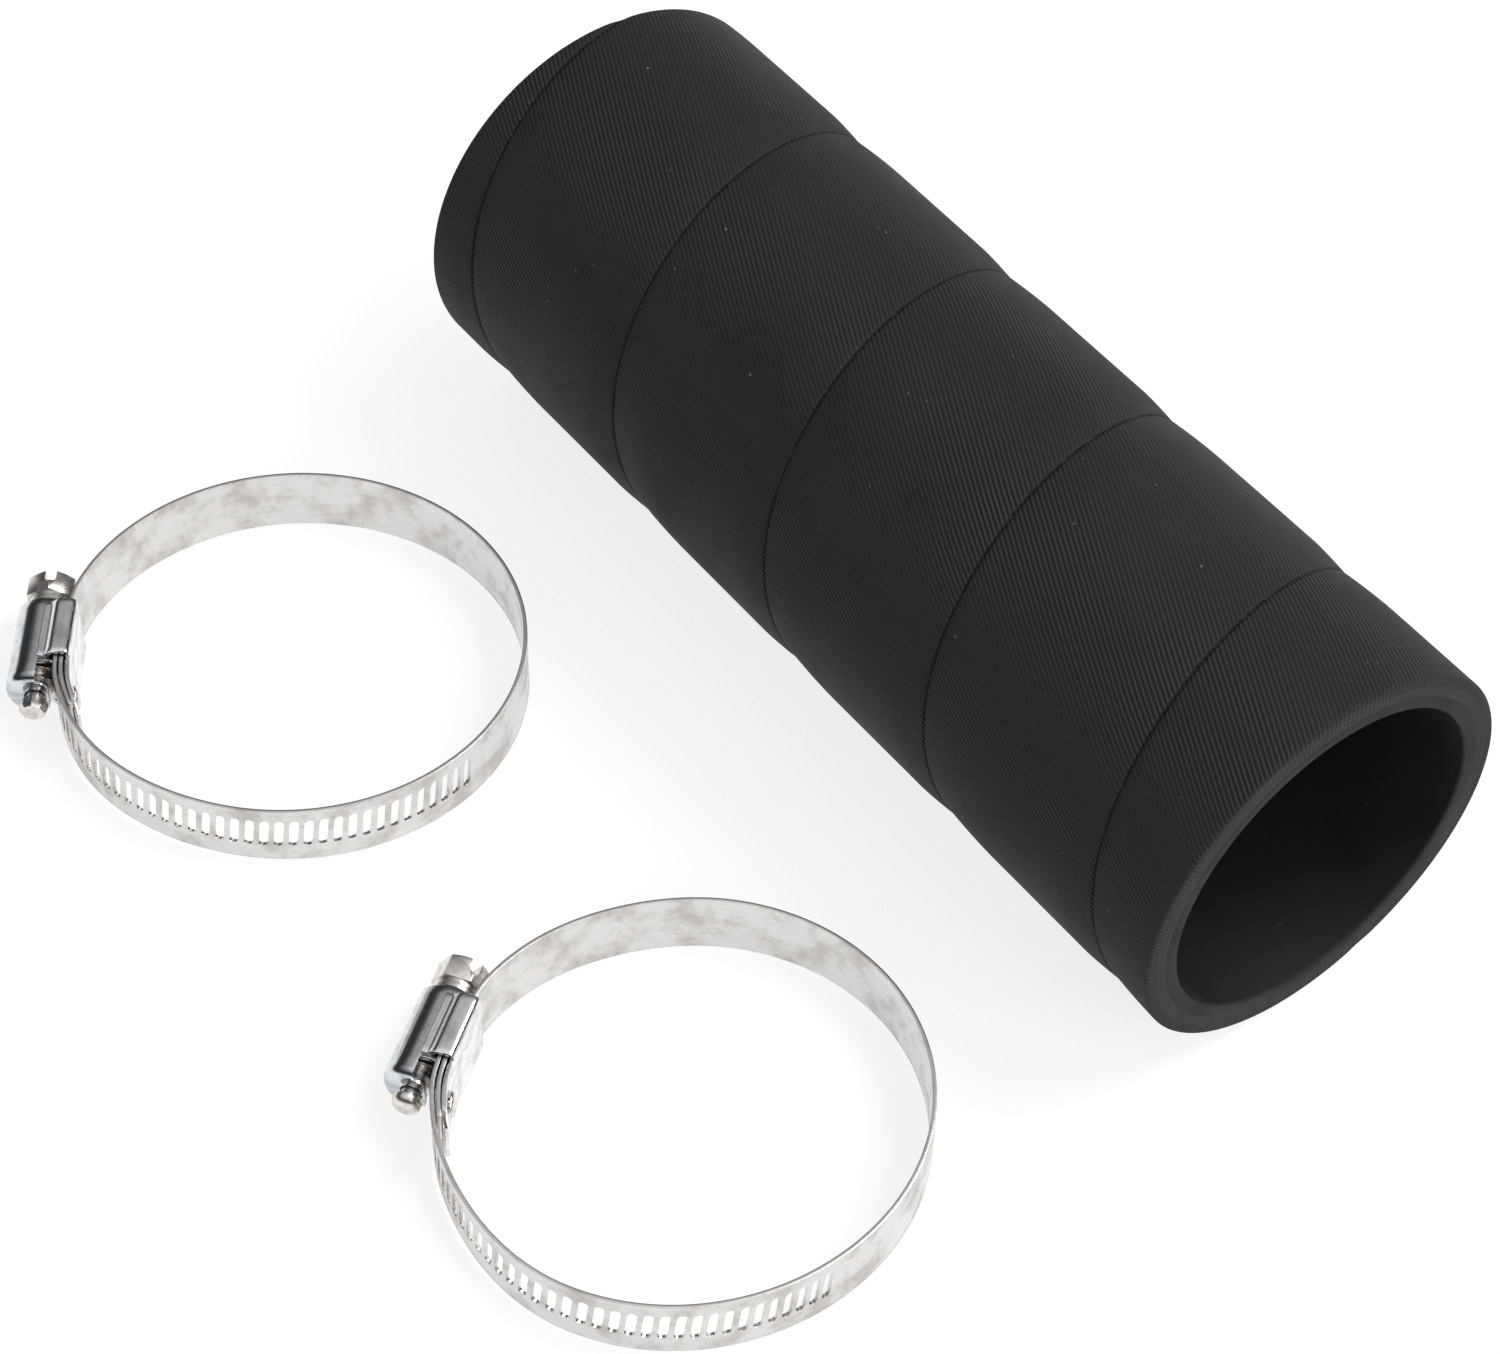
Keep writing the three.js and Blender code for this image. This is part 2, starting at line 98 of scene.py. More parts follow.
def grid_faces(rows, columns, wrap_rows=False, wrap_columns=False, keep=None):
    """Quads between neighbouring points of a rows x columns block; keep(i, j) can leave some out."""
    faces = []
    for i in range(rows if wrap_rows else rows - 1):
        for j in range(columns if wrap_columns else columns - 1):
            if keep is None or keep(i, j):
                below, right = (i + 1) % rows, (j + 1) % columns
                corners = ((i, j), (i, right), (below, right), (below, j))
                faces.append(tuple(r * columns + c for r, c in corners))
    return faces


def finish_mesh(piece, smooth_angle=35):
    """Freezes the modifiers, drops loose points, faces the skin outwards and smooths gentle corners."""
    graph = bpy.context.evaluated_depsgraph_get()
    mesh = bpy.data.meshes.new_from_object(piece.evaluated_get(graph))
    piece.modifiers.clear()
    piece.data = mesh
    shape = bmesh.new()
    shape.from_mesh(mesh)
    bmesh.ops.delete(shape, geom=[v for v in shape.verts if not v.link_faces], context="VERTS")
    bmesh.ops.recalc_face_normals(shape, faces=shape.faces)
    for edge in shape.edges:
        flat = len(edge.link_faces) == 2 and edge.calc_face_angle() < math.radians(smooth_angle)
        edge.smooth = flat
    for face in shape.faces:
        face.smooth = True
    shape.to_mesh(mesh)
    shape.free()
    return piece


def turned_points(profile, sides, start=0.0):
    """Rings of points round the X axis from rows of (x, radius)."""
    angles = start + np.linspace(0, 2 * math.pi, sides, endpoint=False)
    rows = [[(x, r * math.cos(a), r * math.sin(a)) for a in angles] for x, r in profile]
    return np.array(rows)


def bevel(piece, width, segments=2, angle=40):
    modifier = piece.modifiers.new("soft_edges", "BEVEL")
    modifier.width = width
    modifier.segments = segments
    modifier.limit_method = "ANGLE"
    modifier.angle_limit = math.radians(angle)
    modifier.harden_normals = False
    return piece


print("helpers ready")

# %% [markdown]
# ## Camera, floor and light
# The set is seen as on a product sheet: from above, over the near end of the hose. The camera is a
# long lens, so the hose narrows only a little. The floor is a plain white sheet that glows just
# enough for the camera to read as white while it still takes soft shadows, and polished metal
# sees the same white. Large soft lamps give the light, and the room has one dim belt, because
# bright metal looks like metal only when it has something dark to mirror.

# %% Camera
CAMERA_AZIMUTH = math.radians(52.6)
CAMERA_ELEVATION = math.radians(50.5)
CAMERA_DISTANCE = 0.7315
AIM_FROM_HOSE = Vector((-0.0115, -0.0306, 0.0))

hose_low, hose_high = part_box("hose_cover")
hose_centre = (hose_low + hose_high) / 2
hose_half = (hose_high.x - hose_low.x) / 2
aim = Vector((hose_centre.x, hose_centre.y, 0)) + AIM_FROM_HOSE
towards_camera = Vector((
    math.sin(CAMERA_AZIMUTH) * math.cos(CAMERA_ELEVATION),
    -math.cos(CAMERA_AZIMUTH) * math.cos(CAMERA_ELEVATION),
    math.sin(CAMERA_ELEVATION),
))
camera = bpy.data.objects.new("camera", bpy.data.cameras.new("camera"))
camera.data.sensor_width = 36
camera.data.lens = 101
camera.data.clip_start = 0.01
camera.location = aim + towards_camera * CAMERA_DISTANCE
camera.rotation_euler = (-towards_camera).to_track_quat("-Z", "Y").to_euler()
scene.collection.objects.link(camera)
scene.camera = camera
print("camera at", [round(value, 4) for value in camera.location])


# %% Node helper
def add_node(tree, kind, inputs=None, **settings):
    """One shader node with its settings, and values or links for its inputs."""
    node = tree.nodes.new(kind)
    for key, value in settings.items():
        setattr(node, key, value)
    for key, value in (inputs or {}).items():
        if isinstance(value, bpy.types.NodeSocket):
            tree.links.new(value, node.inputs[key])
        else:
            node.inputs[key].default_value = value
    return node


def math_node(tree, operation, *values):
    node = add_node(tree, "ShaderNodeMath", dict(enumerate(values)), operation=operation)
    return node.outputs[0]


def new_material(name):
    material = bpy.data.materials.new(name)
    material.use_nodes = True
    material.node_tree.nodes.clear()
    return material, material.node_tree


# %% World
world = bpy.data.worlds.new("studio")
world.use_nodes = True
scene.world = world
tree = world.node_tree
tree.nodes.clear()
direction = add_node(tree, "ShaderNodeTexCoord").outputs["Generated"]
height = add_node(tree, "ShaderNodeSeparateXYZ", {0: direction}).outputs["Z"]
ramp = add_node(tree, "ShaderNodeValToRGB", {"Fac": height})
ROOM_GREYS = [(0.0, 0.8), (0.06, 0.6), (0.16, 0.06), (0.45, 0.03), (0.6, 0.1),
              (0.72, 0.38), (0.8, 0.42), (0.9, 0.75), (1.0, 0.9)]
ramp.color_ramp.elements[0].position = ROOM_GREYS[0][0]
ramp.color_ramp.elements[1].position = ROOM_GREYS[-1][0]
for place, grey in ROOM_GREYS[1:-1]:
    ramp.color_ramp.elements.new(place)
for element, (place, grey) in zip(ramp.color_ramp.elements, ROOM_GREYS):
    element.color = (grey, grey, grey, 1)
path = add_node(tree, "ShaderNodeLightPath").outputs
mirrored = add_node(tree, "ShaderNodeBackground", {"Color": ramp.outputs[0], "Strength": 1.0})
ambient = add_node(tree, "ShaderNodeBackground", {"Color": (1, 1, 1, 1), "Strength": 0.42})
white = add_node(tree, "ShaderNodeBackground", {"Color": (1, 1, 1, 1), "Strength": 1.0})
lit = add_node(tree, "ShaderNodeMixShader",
               {0: path["Is Glossy Ray"], 1: ambient.outputs[0], 2: mirrored.outputs[0]})
seen = add_node(tree, "ShaderNodeMixShader",
                {0: path["Is Camera Ray"], 1: lit.outputs[0], 2: white.outputs[0]})
add_node(tree, "ShaderNodeOutputWorld", {"Surface": seen.outputs[0]})
print("world made")

# %% Floor
FLOOR_HALF = 3000
FLOOR_GLOW = 0.8
FLOOR_GREY = 0.3
corners = [(-1, -1), (1, -1), (1, 1), (-1, 1)]
floor = mesh_object("floor", [(x * FLOOR_HALF, y * FLOOR_HALF, 0) for x, y in corners], [(0, 1, 2, 3)])
floor.location.z = -0.0001
material, tree = new_material("white_table")
path = add_node(tree, "ShaderNodeLightPath").outputs
diffuse = add_node(tree, "ShaderNodeBsdfDiffuse", {"Color": (FLOOR_GREY,) * 3 + (1,)})
glow = add_node(tree, "ShaderNodeEmission", {"Color": (1, 1, 1, 1), "Strength": FLOOR_GLOW})
table = add_node(tree, "ShaderNodeAddShader", {0: diffuse.outputs[0], 1: glow.outputs[0]})
plain = add_node(tree, "ShaderNodeBsdfDiffuse", {"Color": (0.55, 0.55, 0.55, 1)})
either = math_node(tree, "MAXIMUM", path["Is Camera Ray"], path["Is Glossy Ray"])
either = math_node(tree, "MAXIMUM", either, path["Is Transmission Ray"])
mixed = add_node(tree, "ShaderNodeMixShader", {0: either, 1: plain.outputs[0], 2: table.outputs[0]})
add_node(tree, "ShaderNodeOutputMaterial", {"Surface": mixed.outputs[0]})
floor.data.materials.append(material)
print("floor made")


# %% Lamps
def soft_lamp(name, place, size, power):
    lamp = bpy.data.objects.new(name, bpy.data.lights.new(name, "AREA"))
    lamp.data.shape = "DISK"
    lamp.data.size = size
    lamp.data.energy = power
    lamp.location = Vector(place)
    lamp.rotation_euler = lamp.location.to_track_quat("Z", "Y").to_euler()
    scene.collection.objects.link(lamp)
    return lamp


soft_lamp("key_lamp", (0.35, 0.75, 1.1), 0.8, 11.0)
soft_lamp("end_lamp", (1.0, 0.1, 0.7), 0.6, 4.0)
print("lamps made")

# %% [markdown]
# ## Shared surface effects
# Two effects are used by more than one finish, so each is a node group: the mottled bloom and
# lint of moulded rubber, and the brushed lines and finger smudges of sheet steel.
# The groups only hand out masks and heights. Each material decides what to do with them.


# %% Group helper
def new_group(name, inputs, outputs):
    """A node group with sockets given as {name: (type, default)} and a list of output values."""
    group = bpy.data.node_groups.new(name, "ShaderNodeTree")
    for label, (kind, default) in inputs.items():
        socket = group.interface.new_socket(label, in_out="INPUT", socket_type="NodeSocket" + kind)
        if default is not None:
            socket.default_value = default
    for label in outputs:
        group.interface.new_socket(label, in_out="OUTPUT", socket_type="NodeSocketFloat")
    source = group.nodes.new("NodeGroupInput").outputs
    target = group.nodes.new("NodeGroupOutput").inputs
    return group, source, target


def use_group(tree, group, **values):
    node = tree.nodes.new("ShaderNodeGroup")
    node.node_tree = group
    for label, value in values.items():
        label = label.replace("_", " ")
        if isinstance(value, bpy.types.NodeSocket):
            tree.links.new(value, node.inputs[label])
        else:
            node.inputs[label].default_value = value
    return node.outputs


def map_range(tree, value, from_low, from_high, to_low=0.0, to_high=1.0, smooth=False):
    kind = "SMOOTHSTEP" if smooth else "LINEAR"
    inputs = {"Value": value, "From Min": from_low, "From Max": from_high,
              "To Min": to_low, "To Max": to_high}
    return add_node(tree, "ShaderNodeMapRange", inputs, interpolation_type=kind).outputs[0]


def noise(tree, vector, scale, detail=2.0, roughness=0.5):
    inputs = {"Vector": vector, "Scale": scale, "Detail": detail, "Roughness": roughness}
    return add_node(tree, "ShaderNodeTexNoise", inputs).outputs["Fac"]


# %% Rubber bloom group
rubber_bloom, source, target = new_group(
    "rubber_bloom",
    {"Vector": ("Vector", None), "Mottle Scale": ("Float", 60.0), "Lint": ("Float", 0.5)},
    ["Mottle", "Lint Mask", "Height"],
)
broad = noise(rubber_bloom, source["Vector"], source["Mottle Scale"], 4.0, 0.62)
fine = noise(rubber_bloom, source["Vector"], 2600.0, 3.0, 0.6)
spots = add_node(rubber_bloom, "ShaderNodeTexVoronoi", {"Vector": source["Vector"], "Scale": 420.0})
rare = map_range(rubber_bloom, noise(rubber_bloom, source["Vector"], 190.0), 0.62, 0.7)
speck = map_range(rubber_bloom, spots.outputs["Distance"], 0.13, 0.05)
speck = math_node(rubber_bloom, "MULTIPLY", speck, rare)
speck = math_node(rubber_bloom, "MULTIPLY", speck, source["Lint"])
rubber_bloom.links.new(map_range(rubber_bloom, broad, 0.3, 0.7), target["Mottle"])
rubber_bloom.links.new(speck, target["Lint Mask"])
rubber_bloom.links.new(math_node(rubber_bloom, "ADD", fine, speck), target["Height"])
print("rubber_bloom:", len(rubber_bloom.nodes), "nodes")

# %% Steel surface group
steel_surface, source, target = new_group(
    "steel_surface",
    {"Vector": ("Vector", None), "Grain": ("Float", 900.0), "Stretch": ("Float", 0.03),
     "Smudge Scale": ("Float", 120.0)},
    ["Brushing", "Smudge", "Height"],
)
parts = add_node(steel_surface, "ShaderNodeSeparateXYZ", {0: source["Vector"]}).outputs
along = math_node(steel_surface, "MULTIPLY", parts["X"], source["Stretch"])
lines = add_node(steel_surface, "ShaderNodeCombineXYZ", {"X": along, "Y": parts["Y"], "Z": parts["Z"]})
brushing = noise(steel_surface, lines.outputs[0], source["Grain"], 3.0, 0.6)
cloud = noise(steel_surface, source["Vector"], source["Smudge Scale"], 4.0, 0.65)
steel_surface.links.new(brushing, target["Brushing"])
steel_surface.links.new(map_range(steel_surface, cloud, 0.42, 0.68, smooth=True), target["Smudge"])
steel_surface.links.new(brushing, target["Height"])
print("steel_surface:", len(steel_surface.nodes), "nodes")


# %% Finish helpers
def colour_mix(tree, fac, first, second, blend="MIX"):
    node = add_node(tree, "ShaderNodeMix", data_type="RGBA", blend_type=blend)
    for index, value in ((0, fac), (6, first), (7, second)):
        if isinstance(value, bpy.types.NodeSocket):
            tree.links.new(value, node.inputs[index])
        else:
            node.inputs[index].default_value = value if index == 0 else (*value, 1)
    return node.outputs[2]


def close_material(material, tree, colour, roughness, bump=None, **fixed):
    """A Principled surface: colour and roughness may be linked, the rest are fixed sockets."""
    shader = add_node(tree, "ShaderNodeBsdfPrincipled")
    for label, value in {"Base Color": colour, "Roughness": roughness}.items():
        if isinstance(value, bpy.types.NodeSocket):
            tree.links.new(value, shader.inputs[label])
        else:
            shader.inputs[label].default_value = value
    for label, value in fixed.items():
        shader.inputs[label.replace("_", " ")].default_value = value
    if bump is not None:
        tree.links.new(bump, shader.inputs["Normal"])
    add_node(tree, "ShaderNodeOutputMaterial", {"Surface": shader.outputs[0]})
    return material


def bump_of(tree, height, distance, strength=1.0, under=None):
    inputs = {"Height": height, "Distance": distance, "Strength": strength}
    if under is not None:
        inputs["Normal"] = under
    return add_node(tree, "ShaderNodeBump", inputs).outputs[0]


print("finish helpers ready")

# %% [markdown]
# ## The hose
# Such a hose is built on a mandrel: a rubber tube, two plies of rubbered fabric, and a cover. It is
# cured inside a tight spiral of wet cloth tape. The tape leaves its weave on the rubber and a
# sharp valley where one turn laps the next. So the cover's radius is a formula: the distance
# from the lap along the hose decides how far the skin sinks. The mesh rows run along the lap, not
# along the hose, so the valley falls on a row of points and stays crisp with few faces.

# %% Lap formula
LAP_PITCH = 41.8
LAP_START = -21.5
LAP_DEPTH = 0.62
LAP_GROOVE = 0.22
FALL_BEFORE_LAP = 7.5
RISE_AFTER_LAP = 11.0
COVER_RADIUS = 36.5
HOSE_HALF = hose_half / MM
HOSE_SIDES = 288


def sink_at(after):
    """How far the cover sinks at a distance after the last lap, in mm."""
    before = LAP_PITCH - after
    rise = max(0.0, 1 - after / RISE_AFTER_LAP) ** 1.7
    fall = max(0.0, 1 - before / FALL_BEFORE_LAP) ** 1.35
    groove = math.exp(-(min(after, before) / 0.3) ** 2)
    return LAP_DEPTH * max(rise, fall) + LAP_GROOVE * groove


def waviness(x, angle):
    """Slow hand-made unevenness of the wrap, never outwards."""
    waves = math.sin(2 * angle + x / 31 + 0.7) + math.sin(3 * angle - x / 19) + math.sin(x / 47 + angle)
    return 0.05 * (waves + 3)


AFTER_LAP = [0, 0.15, 0.3, 0.5, 0.8, 1.3, 2, 3, 4.2, 5.6, 7.2, 9, 11, 14, 18, 23, 28, 32, 34.3]
BEFORE_LAP = [6.5, 5.2, 4, 3, 2.1, 1.4, 0.9, 0.5, 0.3, 0.15]
lap_rows = AFTER_LAP + [LAP_PITCH - before for before in BEFORE_LAP]
print("rows in one lap:", len(lap_rows), "deepest point:", round(sink_at(0), 2), "mm")

# %% [markdown]
# Each column of points starts at its own place on the lap. Points past either end are pulled back
# to the end, where they meet and are merged. That leaves one point per column on each rim. A
# second grid runs from rim to rim: over the rounded edge, across the end face and through the bore.

# %% Hose skins
EDGE_ROUND = 0.7
angles = [2 * math.pi * j / HOSE_SIDES for j in range(HOSE_SIDES)]


def cover_radius(x, angle, after=None):
    if after is None:
        after = (x - LAP_START - LAP_PITCH * angle / (2 * math.pi)) % LAP_PITCH
    return COVER_RADIUS - sink_at(after) - waviness(x, angle)


def cover_skin():
    """The wound outer skin as columns that start on the lap and rows that run along it."""
    limit = HOSE_HALF - EDGE_ROUND
    rows = [(LAP_START + LAP_PITCH * lap + step, step) for lap in range(-4, 5) for step in lap_rows]
    points = []
    for start, step in rows:
        for angle in angles:
            wound = start + LAP_PITCH * angle / (2 * math.pi)
            x = min(max(wound, -limit), limit)
            radius = cover_radius(x, angle, step if x == wound else None)
            points.append((x, radius * math.cos(angle), radius * math.sin(angle)))
    faces = []
    for i in range(len(lap_rows), len(rows) - 1):
        for j in range(HOSE_SIDES):
            closes = j + 1 == HOSE_SIDES
            right, back = (0, len(lap_rows)) if closes else (j + 1, 0)
            if i + 1 + back < len(rows):
                faces.append((i * HOSE_SIDES + j, (i + back) * HOSE_SIDES + right,
                              (i + 1 + back) * HOSE_SIDES + right, (i + 1) * HOSE_SIDES + j))
    return points, faces


def rim_to_rim(outer, inner, outer_round, inner_round):
    """Rows of points from the far rim of a tube's skin through its bore to the near rim."""
    quarter = [math.radians(turn) for turn in (0, 22.5, 45, 67.5, 90)]
    rows = []
    for side in (-1, 1):
        half = []
        for turn in quarter:
            x = side * (HOSE_HALF - outer_round * (1 - math.sin(turn)))
            half.append((x, [outer(side, a) - outer_round * (1 - math.cos(turn)) for a in angles]))
        for turn in reversed(quarter):
            x = side * (HOSE_HALF - inner_round * (1 - math.sin(turn)))
            half.append((x, [inner + inner_round * (1 - math.cos(turn)) for a in angles]))
        rows += half if side < 0 else half[::-1]
    return [[(x, r * math.cos(a), r * math.sin(a)) for a, r in zip(angles, radii)] for x, radii in rows]


def add_rows(points, faces, rows, first=0):
    """Appends a closed-round grid of rows to lists of points and faces."""
    start = len(points)
    for row in rows:
        points += row
    faces += [tuple(start + k for k in face) for face in grid_faces(len(rows), len(rows[0]), False, True)]


hose_place = Matrix.Translation(hose_centre)
points, faces = cover_skin()
limit = HOSE_HALF - EDGE_ROUND
COVER_INSIDE = 34.575
add_rows(points, faces, rim_to_rim(
    lambda side, a: cover_radius(side * limit, a), COVER_INSIDE, EDGE_ROUND, 0.05))
cover = mesh_object("hose_cover_wrap", points, faces)
cover.matrix_world = hose_place
finish_mesh(cover, 60)
open_edges = sum(1 for edge in cover.data.edges if edge.is_loose)
print("cover:", len(cover.data.polygons), "faces, loose edges:", open_edges)


# %% [markdown]
# The layers under the cover show only as rings on the end faces and as the bore. They are plain
# turned tubes that touch each other, as cured rubber does, with a broken edge at the bore.

# %% Hose layers
def layer_tube(name, inside, outside, inner_round):
    points, faces = [], []
    rows = rim_to_rim(lambda side, a: outside, inside, 0.05, inner_round)
    add_rows(points, faces, rows + rows[:1])
    piece = mesh_object(name, points, faces)
    piece.matrix_world = hose_place
    return finish_mesh(piece, 40)


tube = layer_tube("hose_bore_tube", 30.0, 32.475, 0.5)
inner_ply = layer_tube("hose_inner_fabric", 32.475, 33.525, 0.05)
outer_ply = layer_tube("hose_outer_fabric", 33.525, 34.575, 0.05)
for piece, node, slot in ((cover, "hose_cover", "cover_rubber"), (tube, "hose_inner_tube", "tube_rubber"),
                          (inner_ply, "hose_inner_ply", "ply_fabric"),
                          (outer_ply, "hose_outer_ply", "ply_fabric")):
    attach(piece, "hose")
    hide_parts(node)
print("hose layers ready")


# %% [markdown]
# ## Rubber finishes
# Wrapped rubber is a soft matt black. Close up it has the diagonal twill of the wrapping cloth, with
# painted light on its ridges and painted shade in its valleys, cloudy bloom, a little pale lint, and a
# thin broken near-black line of painted shade in the groove where one turn laps the next. All of it
# comes from the hose's own coordinates: the distance along it and the angle round it.

# %% Cover rubber
RIB_SPACING = 0.8
RIB_SLANT = math.radians(27)


def lap_distance(tree, position):
    """Nodes for the distance to the nearest lap line, and the unrolled place on the hose, in mm."""
    part = add_node(tree, "ShaderNodeSeparateXYZ", {0: position}).outputs
    along = math_node(tree, "MULTIPLY", part["X"], 1 / MM)
    angle = math_node(tree, "ARCTAN2", part["Z"], part["Y"])
    wound = math_node(tree, "MULTIPLY", angle, LAP_PITCH / (2 * math.pi))
    since = math_node(tree, "SUBTRACT", math_node(tree, "SUBTRACT", along, LAP_START), wound)
    folded = math_node(tree, "PINGPONG", since, LAP_PITCH / 2)
    return folded, along, math_node(tree, "MULTIPLY", angle, COVER_RADIUS)


material, tree = new_material("wrapped_rubber")
position = add_node(tree, "ShaderNodeTexCoord").outputs["Object"]
bloom = use_group(tree, rubber_bloom, Vector=position, Mottle_Scale=45.0, Lint=0.8)
lap, along, around = lap_distance(tree, position)
rib_count = round(2 * math.pi * COVER_RADIUS * math.cos(RIB_SLANT) / RIB_SPACING)
rib_phase = math_node(tree, "ADD", math_node(tree, "MULTIPLY", around, rib_count / COVER_RADIUS),
                      math_node(tree, "MULTIPLY", along, -2 * math.pi * math.sin(RIB_SLANT) / RIB_SPACING))
ribs = math_node(tree, "SINE", rib_phase)
patches = map_range(tree, noise(tree, position, 24.0, 2.0), 0.36, 0.62, 0.35, 1.0, smooth=True)
ribs = math_node(tree, "MULTIPLY", ribs, patches)
broken = map_range(tree, noise(tree, position, 700.0, 3.0, 0.7), 0.36, 0.5)
# The lap line is painted near-black with LAP_PAINTED_SHADE: painted shade in the groove where one turn laps the
# next, broken up by noise.
line = math_node(tree, "MULTIPLY", map_range(tree, lap, 0.32, 0.1, smooth=True), broken)
near_lap = math_node(tree, "MULTIPLY", map_range(tree, lap, 4.0, 0.3), bloom["Lint Mask"])
COVER_DARK = (0.0135, 0.0125, 0.013)
COVER_PALE = (0.0225, 0.0212, 0.022)
LAP_PAINTED_SHADE = (0.004, 0.004, 0.004)
LINT = (0.20, 0.19, 0.17)
# The twill's ridges are painted lighter and its valleys darker: painted light and shade of the weave relief that
# the ribs also bump.
rib_painted_shade = map_range(tree, ribs, -1.0, 1.0, 0.34, 0.66)
shade = math_node(tree, "MULTIPLY", bloom["Mottle"], 0.55)
shade = math_node(tree, "ADD", shade, math_node(tree, "SUBTRACT", rib_painted_shade, 0.28))
colour = colour_mix(tree, shade, COVER_DARK, COVER_PALE)
colour = colour_mix(tree, bloom["Lint Mask"], colour, LINT)
colour = colour_mix(tree, line, colour, LAP_PAINTED_SHADE)
roughness = map_range(tree, bloom["Mottle"], 0.0, 1.0, 0.62, 0.74)
bump = bump_of(tree, bloom["Height"], 0.00012, 0.45)
bump = bump_of(tree, ribs, 0.0001, 0.9, bump)
bump = bump_of(tree, math_node(tree, "SUBTRACT", 1.0, line), 0.0002, 0.8, bump)
cover.data.materials.append(
    close_material(material, tree, colour, roughness, bump, Specular_IOR_Level=0.28))
print("wrapped_rubber:", len(tree.nodes), "nodes,", rib_count, "ribs round the hose")


# %% Cut rubber and fabric
def rubber_finish(name, dark, pale, mottle_scale, weave=0.0):
    """Rubber of the tube and plies, seen on the cut ends and in the bore."""
    material, tree = new_material(name)
    position = add_node(tree, "ShaderNodeTexCoord").outputs["Object"]
    bloom = use_group(tree, rubber_bloom, Vector=position, Mottle_Scale=mottle_scale, Lint=0.5)
    colour = colour_mix(tree, bloom["Mottle"], dark, pale)
    colour = colour_mix(tree, bloom["Lint Mask"], colour, LINT)
    roughness = map_range(tree, bloom["Mottle"], 0.0, 1.0, 0.6, 0.78)
    bump = bump_of(tree, bloom["Height"], 0.00015, 0.5)
    if weave:
        part = add_node(tree, "ShaderNodeSeparateXYZ", {0: position}).outputs
        turn = math_node(tree, "ARCTAN2", part["Z"], part["Y"])
        threads = math_node(tree, "SINE", math_node(tree, "MULTIPLY", turn, weave))
        bump = bump_of(tree, threads, 0.00008, 0.5, bump)
    return close_material(material, tree, colour, roughness, bump, Specular_IOR_Level=0.3)


# The bore tube's rubber is painted darker than the plies and cover: painted shade for the shadowed bore, which
# also darkens the tube's ring on the end faces.
tube.data.materials.append(rubber_finish("bore_painted_shade_rubber", (0.008, 0.008, 0.0085), (0.012, 0.0116, 0.012), 90.0))
ply_finish = rubber_finish("ply_rubber", (0.02, 0.019, 0.02), (0.028, 0.027, 0.028), 150.0, 240.0)
inner_ply.data.materials.append(ply_finish)
outer_ply.data.materials.append(ply_finish)
print("rubber finishes ready")

# %% [markdown]
# ## The clamps
# A worm-drive clamp is a long slotted strip bent to a ring, a pressed saddle with two side tabs, a
# domed housing and a screw whose thread walks through the slots. Each clamp gets one matrix, worked
# out from its screw joint. Every piece is made with the screw along X and the housing above the ring,
# and the matrix then turns its points into place. Each point remembers where it was before that,
# so that a finish can follow the part and not the room.

# %% Clamp sizes
BAND_WIDTH = 12.7
BAND_THICKNESS = 0.7
LOOP_HALF_WIDTH = 38.2
LOOP_HALF_HEIGHT = 40.5
FLAT_CUT = 0.85
FLAT_BLEND = 0.8
SHEET_GAP = 0.3
SADDLE_THICKNESS = 0.8
THREAD_PITCH = 2.5
THREAD_RADIUS = 3.75
THREAD_BITE = 0.55
HOUSING_MIDDLE_RADIUS = 4.8
HOUSING_WALL = 0.8

loop_across = LOOP_HALF_WIDTH - BAND_THICKNESS / 2
crown = LOOP_HALF_HEIGHT - BAND_THICKNESS / 2
loop_up = crown + FLAT_CUT / 2
layer_step = BAND_THICKNESS + SHEET_GAP
tail_outside = crown + layer_step + BAND_THICKNESS / 2
screw_height = tail_outside - THREAD_BITE + THREAD_RADIUS
saddle_offset = -(BAND_THICKNESS / 2 + SHEET_GAP + SADDLE_THICKNESS / 2)
tab_side = BAND_WIDTH / 2 + SHEET_GAP + SADDLE_THICKNESS / 2
overhang = tab_side + SADDLE_THICKNESS / 2 - BAND_WIDTH / 2
# how far each loose ring has sprung from its drawn line: across a diagonal, at its far side, at
# its two sides
SLACK = {"left": (0.0, -1.5, 0.5), "right": (-0.95, -3.55, 2.59)}
SLACK_START = math.radians(28)
SLACK_FULL = math.radians(78)
print("screw height above the ring's middle:", round(screw_height, 2), "mm")

# %% Clamp places
joints = {joint["name"]: joint for joint in frame["joints"]}


def clamp_place(side):
    """The clamp's matrix: X along its screw, Y up through its housing, origin in its ring."""
    joint = joints[side + "_screw_turn"]
    lean = math.atan(overhang / (2 * LOOP_HALF_HEIGHT + SLACK[side][1]))
    along = Vector(joint["axis"]).normalized()
    flat_up = Vector((-along.y, along.x, 0))
    up = flat_up * math.cos(lean) + Vector((0, 0, math.sin(lean)))
    axis = along.cross(up)
    origin = Vector(joint["pos_m"]) - up * screw_height * MM
    columns = [(*vector, 0) for vector in (along, up, axis)] + [(*origin, 1)]
    return Matrix(columns).transposed()


CLAMP_SIDES = ("left", "right")
clamp_places = {side: clamp_place(side) for side in CLAMP_SIDES}
for side, place in clamp_places.items():
    print(side, "clamp ring at", [round(value, 4) for value in place.translation])


